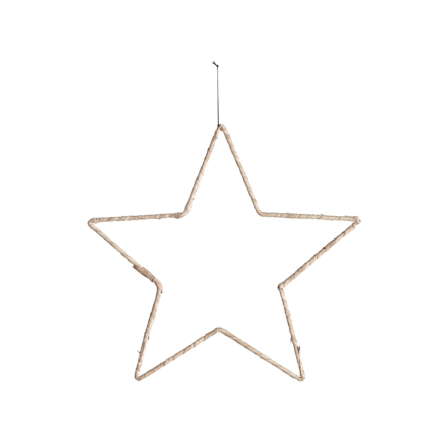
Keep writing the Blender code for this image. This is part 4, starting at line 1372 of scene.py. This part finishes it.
def make_hitch(material):
    """The hitch's knot on the top point's shoulder, and its loop round the left leg."""
    forms = knot_forms(HITCH_KNOT, HITCH_SIZE, wound=0.84, winds=6, lean=1.0)
    return add_thread("hitch", "thread_hitch", forms + plied_thread(loop_route()), material)


# The stage, the light and the camera


def make_camera():
    data = bpy.data.cameras.new("Camera")
    data.lens = LENS
    data.sensor_width = SENSOR
    camera = add_object("Camera", data)
    distance = VIEW_WIDTH * LENS / SENSOR
    camera.location = (VIEW_CENTRE.x, STAR_TOP.y - distance, VIEW_CENTRE.z)
    camera.rotation_euler = (math.pi / 2, 0.0, 0.0)
    bpy.context.scene.camera = camera


def add_light(name, place, size, power):
    """A round soft light that faces LIT_PLACE and isn't seen itself."""
    data = bpy.data.lights.new(name, "AREA")
    data.shape = "DISK"
    data.size = size
    data.energy = power
    light = add_object(name, data)
    light.location = place
    light.rotation_euler = (LIT_PLACE - Vector(place)).to_track_quat("-Z", "Y").to_euler()
    light.visible_camera = False


def make_world():
    """A white surround for the camera, and dim warm light from all round on the star."""
    world = bpy.data.worlds.new("Studio")
    bpy.context.scene.world = world
    world.use_nodes = True
    tree = world.node_tree
    seen = add_node(tree, "LightPath", "Is Camera Ray")
    colours = {"Factor": seen, 6: SURROUND_LIGHT, 7: (1.0, 1.0, 1.0, 1.0)}
    colour = add_node(tree, "Mix", 2, colours, data_type="RGBA")
    strengths = {"Value": seen, "To Min": SURROUND_STRENGTH, "To Max": 1.0}
    strength = add_node(tree, "MapRange", "Result", strengths)
    connect(tree, tree.nodes["Background"], {"Color": colour, "Strength": strength})


def make_floor():
    """A round pale floor under the hanging star, which sends no light up to it."""
    mesh = bpy.data.meshes.new("Floor")
    angles = np.linspace(0, 2 * math.pi, FLOOR_SIDES + 1)[:-1]
    ring = [(FLOOR_RADIUS * math.cos(a), FLOOR_RADIUS * math.sin(a), FLOOR_HEIGHT) for a in angles]
    mesh.from_pydata(ring, [], [list(range(FLOOR_SIDES))])
    mesh.materials.append(floor_material())
    floor = add_object("Floor", mesh)
    floor.visible_diffuse = False
    floor.visible_glossy = False


bpy.context.scene.view_settings.view_transform = "Standard"
make_camera()
bast = bast_material()
thread = thread_material()

strands = [make_strand("front_strand", -1, 2, thread), make_strand("back_strand", 1, 3, thread)]
knots = [make_hang_knot(thread), make_hitch(thread)]
for (strand, path), moved_along in zip(strands, (knots, knots[:1])):
    tuple(path[-1])
    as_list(moved_along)

wind_star(bast)
lay_loose_strips(bast)
make_world()
make_floor()
for name, (place, size, power) in LIGHTS.items():
    add_light(name, place, size, power)
